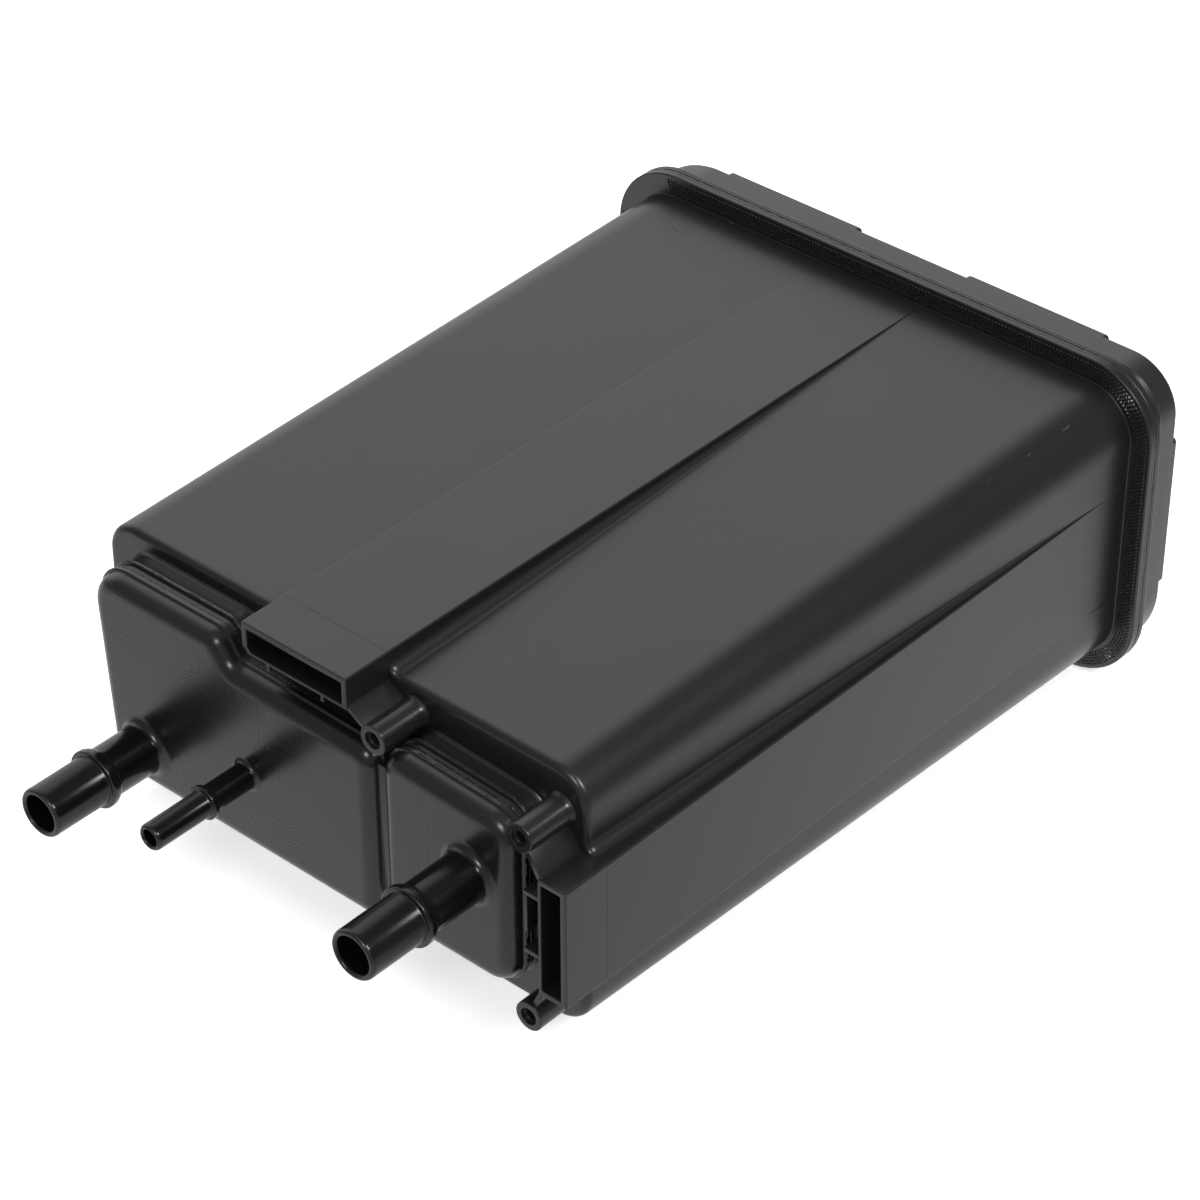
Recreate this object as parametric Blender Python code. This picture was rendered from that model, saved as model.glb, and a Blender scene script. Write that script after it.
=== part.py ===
"""Charcoal canister: drafted plastic housing, welded port cover and rear cover, and packed chambers inside.

Sizes are in millimetres and turned into metres when a mesh is made. X runs along the front face,
Y from the ports to the rear flange, Z up. The last step moves the whole part so that the
origin is the centre of the bottom of its bounding box.
"""
import math

import bmesh
import bpy
import numpy as np

MM = 0.001

# General
GAP = 0.3
WALL = 2.5
OVERLAP = 1.0
ROUND_STEPS = 5
CIRCLE_STEPS = 28

# Housing body: its front section, and how much wider each side is at the rear
FRONT_Y = 16.6
BODY_WIDTH = 186.4
BODY_HEIGHT = 89.2
FRONT_RIGHT = 60.0
FRONT_TOP = 63.8
FRONT_LEFT = FRONT_RIGHT - BODY_WIDTH
FRONT_BOTTOM = FRONT_TOP - BODY_HEIGHT
FRONT_CORNER = 11.5
FRONT_EDGE = 2.2
FRONT_WALL = 3.0
REAR_Y = 250.0
DRAFT_LEFT = 3.2
DRAFT_RIGHT = 7.5
DRAFT_BOTTOM = 2.7
DRAFT_TOP = 6.8
REAR_LEFT = FRONT_LEFT - DRAFT_LEFT
REAR_RIGHT = FRONT_RIGHT + DRAFT_RIGHT
REAR_BOTTOM = FRONT_BOTTOM - DRAFT_BOTTOM
REAR_TOP = FRONT_TOP + DRAFT_TOP
REAR_CORNER = 16.5
PARTITION_X = -3.2
PARTITION_THICK = 2.4
PARTITION_PAST_PLATE = 2.0

# Rear flange of the housing
FLANGE_FILLET = 1.0
FLANGE_Y = 254.0
FLANGE_THICK = 3.0
FLANGE_OUT = 7.4
FLANGE_EDGE = 0.5

# Top and side bracket rails with their sockets
RAIL_LEFT = -53.1
RAIL_RIGHT = -12.6
RAIL_TOP = 70.8
RAIL_MOUTH = 0.0
RAIL_HEIGHT = 10.7
RAIL_CHAMFER = 2.4
RAIL_SIDE_WALL = 1.9
RAIL_OUTER_WALL = 2.2
RAIL_INNER_WALL = 1.1
SIDE_RAIL_OUT = 67.3
SIDE_RAIL_DEPTH = 10.3
SIDE_RAIL_BOTTOM = -1.6
SIDE_RAIL_TOP = 39.5
SOCKET_DEPTH = 15.0
RAIL_EDGE = 0.5
RAIL_FOOT = 3.6
FOOT_DEPTH = 0.8
FOOT_TUCK = 0.12
TOP_FEET_END = 242.0
SIDE_FEET_END = 236.0
RIB_WIDTH = 1.5
RIB_DROP = 2.2
RIB_SETBACK = 0.8
RIB_SHARES = (0.24, 0.76)
SIDE_RIB_SHARES = (0.3, 0.8)
SIDE_RIB_REACH = 6.0
SIDE_TAB_THICK = 1.1
SIDE_TAB_DROP = 14.0

# Screw bosses as (x, z) and the webs that tie them to the sockets
BOSS_TOP = (-2.9, 55.1)
BOSS_CORNER = (50.7, 50.0)
BOSS_LOW = (53.3, -11.8)
BOSS_RADIUS = 4.7
BOSS_HOLE = 2.05
BOSS_FRONT = -0.3
BOSS_HOLE_DEPTH = 13.0
WEB_THICK = 1.8
WEB_SETBACK = 0.4

# Weld seam between the housing collar and the port cover
SEAM_Y = 8.0
LIP_OUT = 1.0
LIP_NEAR = 1.4
LIP_WIDE = 1.5

# Port cover: tank-side chamber with its notch, and vent-side chamber
FACE_Y = 0.0
COVER_EDGE = 5.0
TANK_INSET_TOP = 8.8
TANK_INSET_LOW = 13.6
TANK_INSET_BOTTOM = 13.4
VENT_INSET_BOTTOM = 17.4
TANK_LEFT_TOP = FRONT_LEFT + TANK_INSET_TOP
TANK_LEFT_LOW = FRONT_LEFT + TANK_INSET_LOW
TANK_RIGHT = -4.8
TANK_BOTTOM = FRONT_BOTTOM + TANK_INSET_BOTTOM
TANK_TOP = 58.3
NOTCH_TOP = -66.0
NOTCH_FOOT = -60.0
NOTCH_Z_LEFT = 49.6
NOTCH_Z_RIGHT = 48.2
VENT_LEFT = -1.6
VENT_RIGHT = 46.8
VENT_BOTTOM = FRONT_BOTTOM + VENT_INSET_BOTTOM
VENT_TOP_LEFT = 52.6
VENT_TOP_RIGHT = 50.2
CHAMBER_CORNER = 9.0
TANK_CORNER = 11.0
BOSS_SIDE_CORNER = 8.0
INNER_CORNER = 6.0
BRIDGE_SETBACK = 3.2
BRIDGE_TOP = 44.0
BRIDGE_LIFT = 5.0
BRIDGE_BOTTOM = VENT_BOTTOM + BRIDGE_LIFT

# Quick-connect ports as (x, z, tip y)
TANK_PORT_INSET = 14.6
TANK_PORT = (TANK_LEFT_LOW + TANK_PORT_INSET, 2.8, -41.5)
PURGE_PORT = (-55.0, 15.3, -38.0)
VENT_PORT = (31.6, 27.0, -45.0)
LARGE_RADIUS = 7.9
LARGE_BORE = 5.9
LARGE_BEAD = 9.4
LARGE_BEAD_WIDE = 4.6
SMALL_RADIUS = 4.2
SMALL_BORE = 2.6
SMALL_BEAD = 5.4
SMALL_BEAD_WIDE = 3.0
BEAD_FROM_TIP = 20.5
TIP_CHAMFER = 0.6
FLARE_LENGTH = 3.2

# Front grille between the port cover and the chambers
CELL_X = 10.4
CELL_Z = 9.6
CELL_PITCH_X = 12.8
CELL_PITCH_Z = 12.2
GRILLE_MARGIN = 3.5

# Packing inside: pads, carbon beds, plates and springs, from front to rear
PAD_THICK = 6.0
PLATE_THICK = 3.0
SPRING_LENGTH = 18.0
SPRING_RADIUS = 11.0
SPRING_WIRE = 0.9
SPRING_TURNS = 3.5
SPRING_STEPS = 10
SPRING_SIDES = 5
SEAT_RADIUS = 8.6
SEAT_HEIGHT = 3.0
SEPARATOR_SHARE = 0.48
DIFFUSER_THICK = 7.0
SPRING_INSET_X = 30.0
SPRING_INSET_Z = 26.5
SLOT_X = 9.0
SLOT_Z = 5.0
SLOT_PITCH_X = 13.0
SLOT_MARGIN_X = 5.0
SLOT_MARGIN_Z = 9.5

# Rear cover
CAP_DEPTH = 12.8
CAP_RIM = 2.4
CAP_SHOULDER = 1.0
CAP_STEP = 1.4
CAP_CORNER = 22.5
CAP_CORNER_TOP_RIGHT = 11.5
CAP_EDGE = 2.2
CAP_WALL = 2.6
PAD_REACH = 1.0
PAD_EDGE = 1.0
PAD_TUCK = 0.2
PAD_HEIGHT = 8.0
TOP_PADS = ((-103.7, -49.2), (-7.6, 46.3))
SIDE_PAD = (-2.3, 51.3)
CAP_RIB = 2.2
CAP_RIB_RISE = 1.6
CAP_LEVEL_RISE = 1.3
CAP_RIB_MARGIN_X = 12.0
CAP_RIB_MARGIN_Z = 8.0
CAP_RIB_PITCH_X = 32.0
CAP_RIB_PITCH_Z = 38.0

# Derived positions
COLLAR_START = SEAM_Y + GAP / 2
COVER_END = SEAM_Y - GAP / 2
RAIL_END = FLANGE_Y + FLANGE_EDGE
FLANGE_END = FLANGE_Y + FLANGE_THICK
CAP_START = FLANGE_END + GAP
CAP_END = CAP_START + CAP_DEPTH
CAP_INNER = CAP_END - CAP_WALL
PACK_START = FRONT_Y + FRONT_WALL + GAP
PLENUM_END = FRONT_Y + 0.4
FEET_START = FRONT_Y + FRONT_EDGE + 0.6
SPRING_START = CAP_INNER - GAP - SPRING_LENGTH
PLATE_START = SPRING_START - GAP - PLATE_THICK
REAR_PAD_START = PLATE_START - GAP - PAD_THICK
BED_START = PACK_START + PAD_THICK + GAP
BED_END = REAR_PAD_START - GAP


def material(name, colour, roughness, metallic=0.0):
    """Principled material with plain values."""
    made = bpy.data.materials.new(name)
    made.use_nodes = True
    shader = made.node_tree.nodes["Principled BSDF"]
    shader.inputs["Base Color"].default_value = (*colour, 1.0)
    shader.inputs["Roughness"].default_value = roughness
    shader.inputs["Metallic"].default_value = metallic
    return made


def finish(name, bm, mat=None):
    """Turns a bmesh into a named object with its normals outward."""
    bmesh.ops.recalc_face_normals(bm, faces=bm.faces)
    mesh = bpy.data.meshes.new(name)
    bm.to_mesh(mesh)
    bm.free()
    made = bpy.data.objects.new(name, mesh)
    bpy.context.collection.objects.link(made)
    if mat is not None:
        made.data.materials.append(mat)
    return made


def add_loft(bm, rings):
    """Adds a closed solid through rings of (y, points in x and z)."""
    rows = []
    for y, points in rings:
        rows.append([bm.verts.new((x * MM, y * MM, z * MM)) for x, z in points])
    count = len(rows[0])
    for near, far in zip(rows, rows[1:]):
        for i in range(count):
            j = (i + 1) % count
            bm.faces.new((near[i], near[j], far[j], far[i]))
    bm.faces.new(rows[0])
    bm.faces.new(rows[-1])


def loft(name, rings, mat=None):
    """One closed solid through the rings."""
    bm = bmesh.new()
    add_loft(bm, rings)
    return finish(name, bm, mat)


def outline(corners, radii, offset=0.0):
    """Rounded outline of an anticlockwise polygon, moved outward by the offset."""
    corners = [np.array(c, float) for c in corners]
    count = len(corners)
    lines = []
    for i in range(count):
        along = corners[(i + 1) % count] - corners[i]
        along = along / np.linalg.norm(along)
        outward = np.array((along[1], -along[0]))
        lines.append((corners[i] + outward * offset, along))
    points = []
    for i in range(count):
        (a, u), (b, v) = lines[i - 1], lines[i]
        turn = u[0] * v[1] - u[1] * v[0]
        reach = ((b[0] - a[0]) * v[1] - (b[1] - a[1]) * v[0]) / turn
        corner = a + u * reach
        radius = max(radii[i] + (offset if turn > 0 else -offset), 0.25)
        angle = math.atan2(turn, float(u @ v))
        tangent = radius * math.tan(abs(angle) / 2)
        side = 1.0 if turn > 0 else -1.0
        start = corner - u * tangent
        centre = start + np.array((-u[1], u[0])) * radius * side
        arm = start - centre
        for k in range(ROUND_STEPS + 1):
            a_k = angle * k / ROUND_STEPS
            cos_k, sin_k = math.cos(a_k), math.sin(a_k)
            turned = (arm[0] * cos_k - arm[1] * sin_k, arm[0] * sin_k + arm[1] * cos_k)
            points.append(centre + np.array(turned))
    return points


def rectangle(left, right, bottom, top):
    """Corners of a rectangle, anticlockwise."""
    return [(left, bottom), (right, bottom), (right, top), (left, top)]


def circle(x, z, radius, steps=CIRCLE_STEPS):
    """Points of a circle in x and z."""
    turns = [2 * math.pi * (k + 0.5) / steps for k in range(steps)]
    return [(x + radius * math.cos(t), z + radius * math.sin(t)) for t in turns]


def add_box(bm, left, right, near, far, bottom, top):
    """Adds a plain box."""
    shape = rectangle(left, right, bottom, top)
    add_loft(bm, [(near, shape), (far, shape)])


def boolean(target, cutter, operation):
    """Joins or cuts with an exact boolean and hides the second object."""
    step = target.modifiers.new(operation.lower(), "BOOLEAN")
    step.operation = operation
    step.solver = "EXACT"
    step.object = cutter
    cutter.hide_render = True
    cutter.display_type = "WIRE"


def body_size(y):
    """Left, right, bottom, top and corner radius of the drafted body at one Y."""
    share = (y - FRONT_Y) / (REAR_Y - FRONT_Y)
    front = (FRONT_LEFT, FRONT_RIGHT, FRONT_BOTTOM, FRONT_TOP, FRONT_CORNER)
    rear = (REAR_LEFT, REAR_RIGHT, REAR_BOTTOM, REAR_TOP, REAR_CORNER)
    return [a + (b - a) * share for a, b in zip(front, rear)]


def body_section(y, offset=0.0):
    """Outline of the body at one Y, moved outward by the offset."""
    left, right, bottom, top, corner = body_size(y)
    return outline(rectangle(left, right, bottom, top), [corner] * 4, offset)


def chamber_section(y, tank, offset):
    """Outline of one packed chamber at one Y: body wall on three sides, partition on the fourth."""
    left, right, bottom, top, corner = body_size(y)
    inner = WALL + offset
    half = PARTITION_THICK / 2 + offset
    square = 0.6
    if tank:
        shape = rectangle(left + inner, PARTITION_X - half, bottom + inner, top - inner)
        radii = [corner - inner, square, square, corner - inner]
    else:
        shape = rectangle(PARTITION_X + half, right - inner, bottom + inner, top - inner)
        radii = [square, corner - inner, corner - inner, square]
    return outline(shape, radii)


def tank_outline(offset=0.0):
    """Outline of the tank-side half of the port cover, with the notch below the top socket."""
    corners = [(TANK_LEFT_LOW, TANK_BOTTOM), (TANK_RIGHT, TANK_BOTTOM), (TANK_RIGHT, NOTCH_Z_RIGHT),
               (NOTCH_FOOT, NOTCH_Z_LEFT), (NOTCH_TOP, TANK_TOP), (TANK_LEFT_TOP, TANK_TOP)]
    radii = [CHAMBER_CORNER, INNER_CORNER, INNER_CORNER, INNER_CORNER, INNER_CORNER, TANK_CORNER]
    return outline(corners, radii, offset)


def vent_outline(offset=0.0):
    """Outline of the vent-side half of the port cover."""
    corners = [(VENT_LEFT, VENT_BOTTOM), (VENT_RIGHT, VENT_BOTTOM), (VENT_RIGHT, VENT_TOP_RIGHT),
               (VENT_LEFT, VENT_TOP_LEFT)]
    return outline(corners, [INNER_CORNER, CHAMBER_CORNER, CHAMBER_CORNER, BOSS_SIDE_CORNER], offset)


def collar(name, shape):
    """Weld collar on the housing front, with its lip just behind the seam."""
    lip = COLLAR_START + LIP_NEAR
    rings = [(COLLAR_START, shape(0)), (lip, shape(0)), (lip + 0.3, shape(LIP_OUT)),
             (lip + LIP_WIDE, shape(LIP_OUT)), (lip + LIP_WIDE + 0.5, shape(0)),
             (FRONT_Y + OVERLAP, shape(0))]
    return loft(name, rings)


def cover_half(name, shape):
    """Half of the port cover: rounded front edge, lip just before the seam."""
    rings = []
    for k in range(5):
        angle = math.pi / 2 * k / 4
        inset = COVER_EDGE * (1 - math.cos(angle))
        rings.append((FACE_Y + COVER_EDGE * (1 - math.sin(angle)), shape(-inset)))
    rings.reverse()
    lip = COVER_END - LIP_NEAR
    rings[-1] = (lip - LIP_WIDE - 0.3, shape(0))
    rings += [(lip - LIP_WIDE, shape(LIP_OUT)), (lip - 0.3, shape(LIP_OUT)),
              (lip, shape(0)), (COVER_END, shape(0))]
    return loft(name, rings)


def foot(name, side, sign, y_far):
    """Concave foot along one edge of the top or side rail."""
    along, up = np.array((1.0, 0.0)), np.array((0.0, 1.0))
    rings = []
    for y in (FEET_START, (FEET_START + y_far) / 2, y_far):
        left, right, bottom, top, radius = body_size(y)
        if side == "top":
            corner = np.array((RAIL_RIGHT if sign > 0 else RAIL_LEFT, top))
            out, rise_to = along * sign, up
            height = RAIL_TOP - top
        else:
            corner = np.array((right, SIDE_RAIL_TOP if sign > 0 else SIDE_RAIL_BOTTOM))
            out, rise_to = up * sign, along
            height = SIDE_RAIL_OUT - right
        size = max(min(RAIL_FOOT, height * 0.8), 0.3)
        shape = [corner - out * FOOT_DEPTH - rise_to * FOOT_DEPTH, corner - out * FOOT_DEPTH + rise_to * size]
        for k in range(5):
            angle = math.pi / 2 * k / 4
            lift = size * (1 - math.sin(angle)) - FOOT_TUCK * k / 4
            shape.append(corner + out * size * (1 - math.cos(angle)) + rise_to * lift)
        shape.append(corner + out * size - rise_to * FOOT_DEPTH)
        rings.append((y, [tuple(p) for p in shape]))
    return loft(name, rings)


def web(bm, start, end):
    """Adds a thin web between two points in x and z."""
    a, b = np.array(start, float), np.array(end, float)
    along = (b - a) / np.linalg.norm(b - a)
    across = np.array((-along[1], along[0])) * WEB_THICK / 2
    shape = [a - across, b - across, b + across, a + across]
    add_loft(bm, [(RAIL_MOUTH + WEB_SETBACK, shape), (FRONT_Y + OVERLAP, shape)])


def spring_places(tank):
    """Spring centres in x and z, set in from the chamber's walls: four on the tank side, two on the other."""
    points = chamber_section(PLATE_START, tank, GAP)
    left, right = min(p[0] for p in points), max(p[0] for p in points)
    bottom, top = min(p[1] for p in points), max(p[1] for p in points)
    columns = (left + SPRING_INSET_X, right - SPRING_INSET_X) if tank else ((left + right) / 2,)
    return [(x, z) for z in (bottom + SPRING_INSET_Z, top - SPRING_INSET_Z) for x in columns]


def spread(low, high, size, pitch):
    """Centres of as many equal openings as fit between two limits."""
    count = int((high - low - size) // pitch) + 1
    start = (low + high) / 2 - (count - 1) * pitch / 2
    return [start + i * pitch for i in range(count)]


def grille(bm, left, right, bottom, top, near, far):
    """Adds box cutters for the cells of a grille that fills a rectangle."""
    for x in spread(left + GRILLE_MARGIN, right - GRILLE_MARGIN, CELL_X, CELL_PITCH_X):
        for z in spread(bottom + GRILLE_MARGIN, top - GRILLE_MARGIN, CELL_Z, CELL_PITCH_Z):
            add_box(bm, x - CELL_X / 2, x + CELL_X / 2, near, far, z - CELL_Z / 2, z + CELL_Z / 2)


def build_housing(plastic):
    """Moulded housing with flange, rails, sockets, bosses, webs, collar and grille."""
    edge = FRONT_EDGE
    rings = [(FRONT_Y, body_section(FRONT_Y, -edge)),
             (FRONT_Y + edge * 0.3, body_section(FRONT_Y, -edge * 0.3)),
             (FRONT_Y + edge, body_section(FRONT_Y + edge)),
             (FLANGE_Y - FLANGE_FILLET, body_section(FLANGE_Y - FLANGE_FILLET)),
             (FLANGE_Y - FLANGE_FILLET * 0.3, body_section(FLANGE_Y, FLANGE_FILLET * 0.3)),
             (FLANGE_Y, body_section(FLANGE_Y, FLANGE_FILLET)),
             (FLANGE_Y, body_section(FLANGE_Y, FLANGE_OUT - FLANGE_EDGE)),
             (FLANGE_Y + FLANGE_EDGE, body_section(FLANGE_Y, FLANGE_OUT)),
             (FLANGE_END - FLANGE_EDGE, body_section(FLANGE_Y, FLANGE_OUT)),
             (FLANGE_END, body_section(FLANGE_Y, FLANGE_OUT - FLANGE_EDGE))]
    housing = loft("housing", rings, plastic)

    rail_bottom = RAIL_TOP - RAIL_HEIGHT
    rail_shape = [(RAIL_LEFT + RAIL_CHAMFER, rail_bottom), (RAIL_RIGHT, rail_bottom), (RAIL_RIGHT, RAIL_TOP),
                  (RAIL_LEFT, RAIL_TOP), (RAIL_LEFT, rail_bottom + RAIL_CHAMFER)]
    rail_outline = outline(rail_shape, [RAIL_EDGE] * 5)
    boolean(housing, loft("cut_top_rail", [(RAIL_MOUTH, rail_outline), (RAIL_END, rail_outline)]), "UNION")
    side_in = SIDE_RAIL_OUT - SIDE_RAIL_DEPTH
    side_shape = rectangle(side_in, SIDE_RAIL_OUT, SIDE_RAIL_BOTTOM, SIDE_RAIL_TOP)
    side_outline = outline(side_shape, [RAIL_EDGE] * 4)
    boolean(housing, loft("cut_side_rail", [(RAIL_MOUTH, side_outline), (RAIL_END, side_outline)]), "UNION")

    for side, sign, far in (("top", 1, TOP_FEET_END), ("top", -1, TOP_FEET_END),
                            ("side", 1, SIDE_FEET_END), ("side", -1, SIDE_FEET_END)):
        name = "cut_%s_foot_%s" % (side, "plus" if sign > 0 else "minus")
        boolean(housing, foot(name, side, sign, far), "UNION")

    bm = bmesh.new()
    for x, z in (BOSS_TOP, BOSS_CORNER, BOSS_LOW):
        rim, wall = circle(x, z, BOSS_RADIUS - 0.3, 24), circle(x, z, BOSS_RADIUS, 24)
        add_loft(bm, [(BOSS_FRONT, rim), (BOSS_FRONT + 0.3, wall), (FRONT_Y + OVERLAP, wall)])
    boolean(housing, finish("cut_bosses", bm), "UNION")

    bm = bmesh.new()
    web(bm, (RAIL_RIGHT - 0.7, rail_bottom + 0.8), BOSS_TOP)
    web(bm, (side_in + 0.7, SIDE_RAIL_TOP - 0.9), BOSS_CORNER)
    web(bm, (side_in + 0.9, SIDE_RAIL_BOTTOM + 0.9), BOSS_LOW)
    boolean(housing, finish("cut_webs", bm), "UNION")

    bm = bmesh.new()
    near, far = RAIL_MOUTH + RIB_SETBACK, FRONT_Y + OVERLAP
    for share in RIB_SHARES:
        x = RAIL_LEFT + (RAIL_RIGHT - RAIL_LEFT) * share
        add_box(bm, x - RIB_WIDTH / 2, x + RIB_WIDTH / 2, near, far,
                rail_bottom - RIB_DROP, rail_bottom + 0.6)
    for share in SIDE_RIB_SHARES:
        z = SIDE_RAIL_BOTTOM + (SIDE_RAIL_TOP - SIDE_RAIL_BOTTOM) * share
        add_box(bm, side_in - SIDE_RIB_REACH, side_in + 0.6, near, far, z - RIB_WIDTH / 2, z + RIB_WIDTH / 2)
    boolean(housing, finish("cut_ribs", bm), "UNION")
    bm = bmesh.new()
    left = side_in - SIDE_RIB_REACH + 0.15
    add_box(bm, left, left + SIDE_TAB_THICK, near + 0.2, far - 0.3, z - SIDE_TAB_DROP, z + RIB_WIDTH / 4)
    boolean(housing, finish("cut_tab", bm), "UNION")

    boolean(housing, collar("cut_tank_collar", tank_outline), "UNION")
    boolean(housing, collar("cut_vent_collar", vent_outline), "UNION")
    bm = bmesh.new()
    bridge = (TANK_RIGHT - WALL * 0.8, VENT_LEFT + WALL * 0.8)
    add_box(bm, *bridge, COLLAR_START + 0.5, FRONT_Y + OVERLAP, BRIDGE_BOTTOM, BRIDGE_TOP)
    boolean(housing, finish("cut_collar_bridge", bm), "UNION")

    near, far = PACK_START - GAP, FLANGE_END + 1
    cavity = loft("cut_cavity", [(near, body_section(near, -WALL)), (far, body_section(far, -WALL))])
    bm = bmesh.new()
    half = PARTITION_THICK / 2
    add_box(bm, PARTITION_X - half, PARTITION_X + half, FRONT_Y, SPRING_START + PARTITION_PAST_PLATE,
            REAR_BOTTOM - OVERLAP, REAR_TOP + OVERLAP)
    boolean(cavity, finish("cut_partition", bm), "DIFFERENCE")
    boolean(housing, cavity, "DIFFERENCE")

    for name, shape in (("cut_tank_plenum", tank_outline), ("cut_vent_plenum", vent_outline)):
        plenum = loft(name, [(COLLAR_START - 1, shape(-WALL)), (PLENUM_END, shape(-WALL))])
        boolean(housing, plenum, "DIFFERENCE")
    bm = bmesh.new()
    near, far = PLENUM_END - 0.5, PACK_START + 0.5
    grille(bm, TANK_LEFT_LOW + WALL, PARTITION_X - half, TANK_BOTTOM + WALL, NOTCH_Z_RIGHT - WALL, near, far)
    grille(bm, PARTITION_X + half, VENT_RIGHT - WALL, VENT_BOTTOM + WALL, VENT_TOP_RIGHT - WALL, near, far)
    boolean(housing, finish("cut_grille", bm), "DIFFERENCE")

    bm = bmesh.new()
    near, far = RAIL_MOUTH - 1, RAIL_MOUTH + SOCKET_DEPTH
    add_box(bm, RAIL_LEFT + RAIL_SIDE_WALL, RAIL_RIGHT - RAIL_SIDE_WALL, near, far,
            rail_bottom + RAIL_INNER_WALL, RAIL_TOP - RAIL_OUTER_WALL)
    add_box(bm, side_in + RAIL_INNER_WALL, SIDE_RAIL_OUT - RAIL_OUTER_WALL, near, far,
            SIDE_RAIL_BOTTOM + RAIL_SIDE_WALL, SIDE_RAIL_TOP - RAIL_SIDE_WALL)
    boolean(housing, finish("cut_sockets", bm), "DIFFERENCE")
    bm = bmesh.new()
    for x, z in (BOSS_TOP, BOSS_CORNER, BOSS_LOW):
        hole = circle(x, z, BOSS_HOLE, 16)
        add_loft(bm, [(BOSS_FRONT - 1, hole), (BOSS_FRONT + BOSS_HOLE_DEPTH, hole)])
    boolean(housing, finish("cut_boss_holes", bm), "DIFFERENCE")
    return housing


def port_rings(port, radius, bead, bead_wide):
    """Outer rings of one quick-connect port, from its tip into the cover wall."""
    x, z, tip = port
    near = tip + BEAD_FROM_TIP
    sizes = [(tip, radius - TIP_CHAMFER), (tip + 1.4, radius), (near, radius), (near, bead - 0.35),
             (near + 0.35, bead), (near + bead_wide - 0.8, bead), (near + bead_wide, radius),
             (FACE_Y - FLARE_LENGTH, radius), (FACE_Y - FLARE_LENGTH * 0.45, radius + 0.4),
             (FACE_Y - 0.5, radius + 1.1), (FACE_Y + 0.8, radius + 2.4)]
    return [(y, circle(x, z, r)) for y, r in sizes]


def build_port_cover(plastic):
    """Port cover: two hollow halves bridged at the valley, with three ports in the same moulding."""
    cover = cover_half("port_cover", tank_outline)
    cover.data.materials.append(plastic)
    boolean(cover, cover_half("cut_vent_half", vent_outline), "UNION")
    bm = bmesh.new()
    bridge = (TANK_RIGHT - WALL * 0.8, VENT_LEFT + WALL * 0.8)
    add_box(bm, *bridge, FACE_Y + BRIDGE_SETBACK, COVER_END - 0.5, BRIDGE_BOTTOM, BRIDGE_TOP)
    boolean(cover, finish("cut_cover_bridge", bm), "UNION")
    ports = ((TANK_PORT, LARGE_RADIUS, LARGE_BORE, LARGE_BEAD, LARGE_BEAD_WIDE),
             (PURGE_PORT, SMALL_RADIUS, SMALL_BORE, SMALL_BEAD, SMALL_BEAD_WIDE),
             (VENT_PORT, LARGE_RADIUS, LARGE_BORE, LARGE_BEAD, LARGE_BEAD_WIDE))
    bm = bmesh.new()
    for port, radius, bore, bead, bead_wide in ports:
        add_loft(bm, port_rings(port, radius, bead, bead_wide))
    boolean(cover, finish("cut_ports", bm), "UNION")
    for name, shape in (("cut_tank_hollow", tank_outline), ("cut_vent_hollow", vent_outline)):
        rings = [(FACE_Y + WALL, shape(-WALL - 1.6)), (FACE_Y + WALL + 1.6, shape(-WALL)),
                 (COVER_END + 1, shape(-WALL))]
        boolean(cover, loft(name, rings), "DIFFERENCE")
    bm = bmesh.new()
    for port, radius, bore, bead, bead_wide in ports:
        x, z, tip = port
        add_loft(bm, [(tip - 1, circle(x, z, bore + 0.9)), (tip + 0.5, circle(x, z, bore)),
                      (FACE_Y + WALL + 1.2, circle(x, z, bore))])
    boolean(cover, finish("cut_bores", bm), "DIFFERENCE")
    return cover


def cap_section(offset):
    """Outline of the rear cover behind its weld rim, tighter at the top right corner than at the others."""
    left, right, bottom, top, corner = body_size(FLANGE_Y)
    radii = [CAP_CORNER, CAP_CORNER, CAP_CORNER_TOP_RIGHT, CAP_CORNER]
    return outline(rectangle(left, right, bottom, top), radii, offset)


def cap_pad(bm, left, right, bottom, top):
    """Adds a pad that stands past the back of the rear cover, with a chamfered rear edge."""
    far = CAP_END + PAD_REACH
    shape = rectangle(left, right, bottom, top)
    small = rectangle(left + PAD_EDGE, right - PAD_EDGE, bottom + PAD_EDGE, top - PAD_EDGE)
    add_loft(bm, [(CAP_END - CAP_EDGE - OVERLAP, shape), (far - PAD_EDGE, shape), (far, small)])


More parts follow.
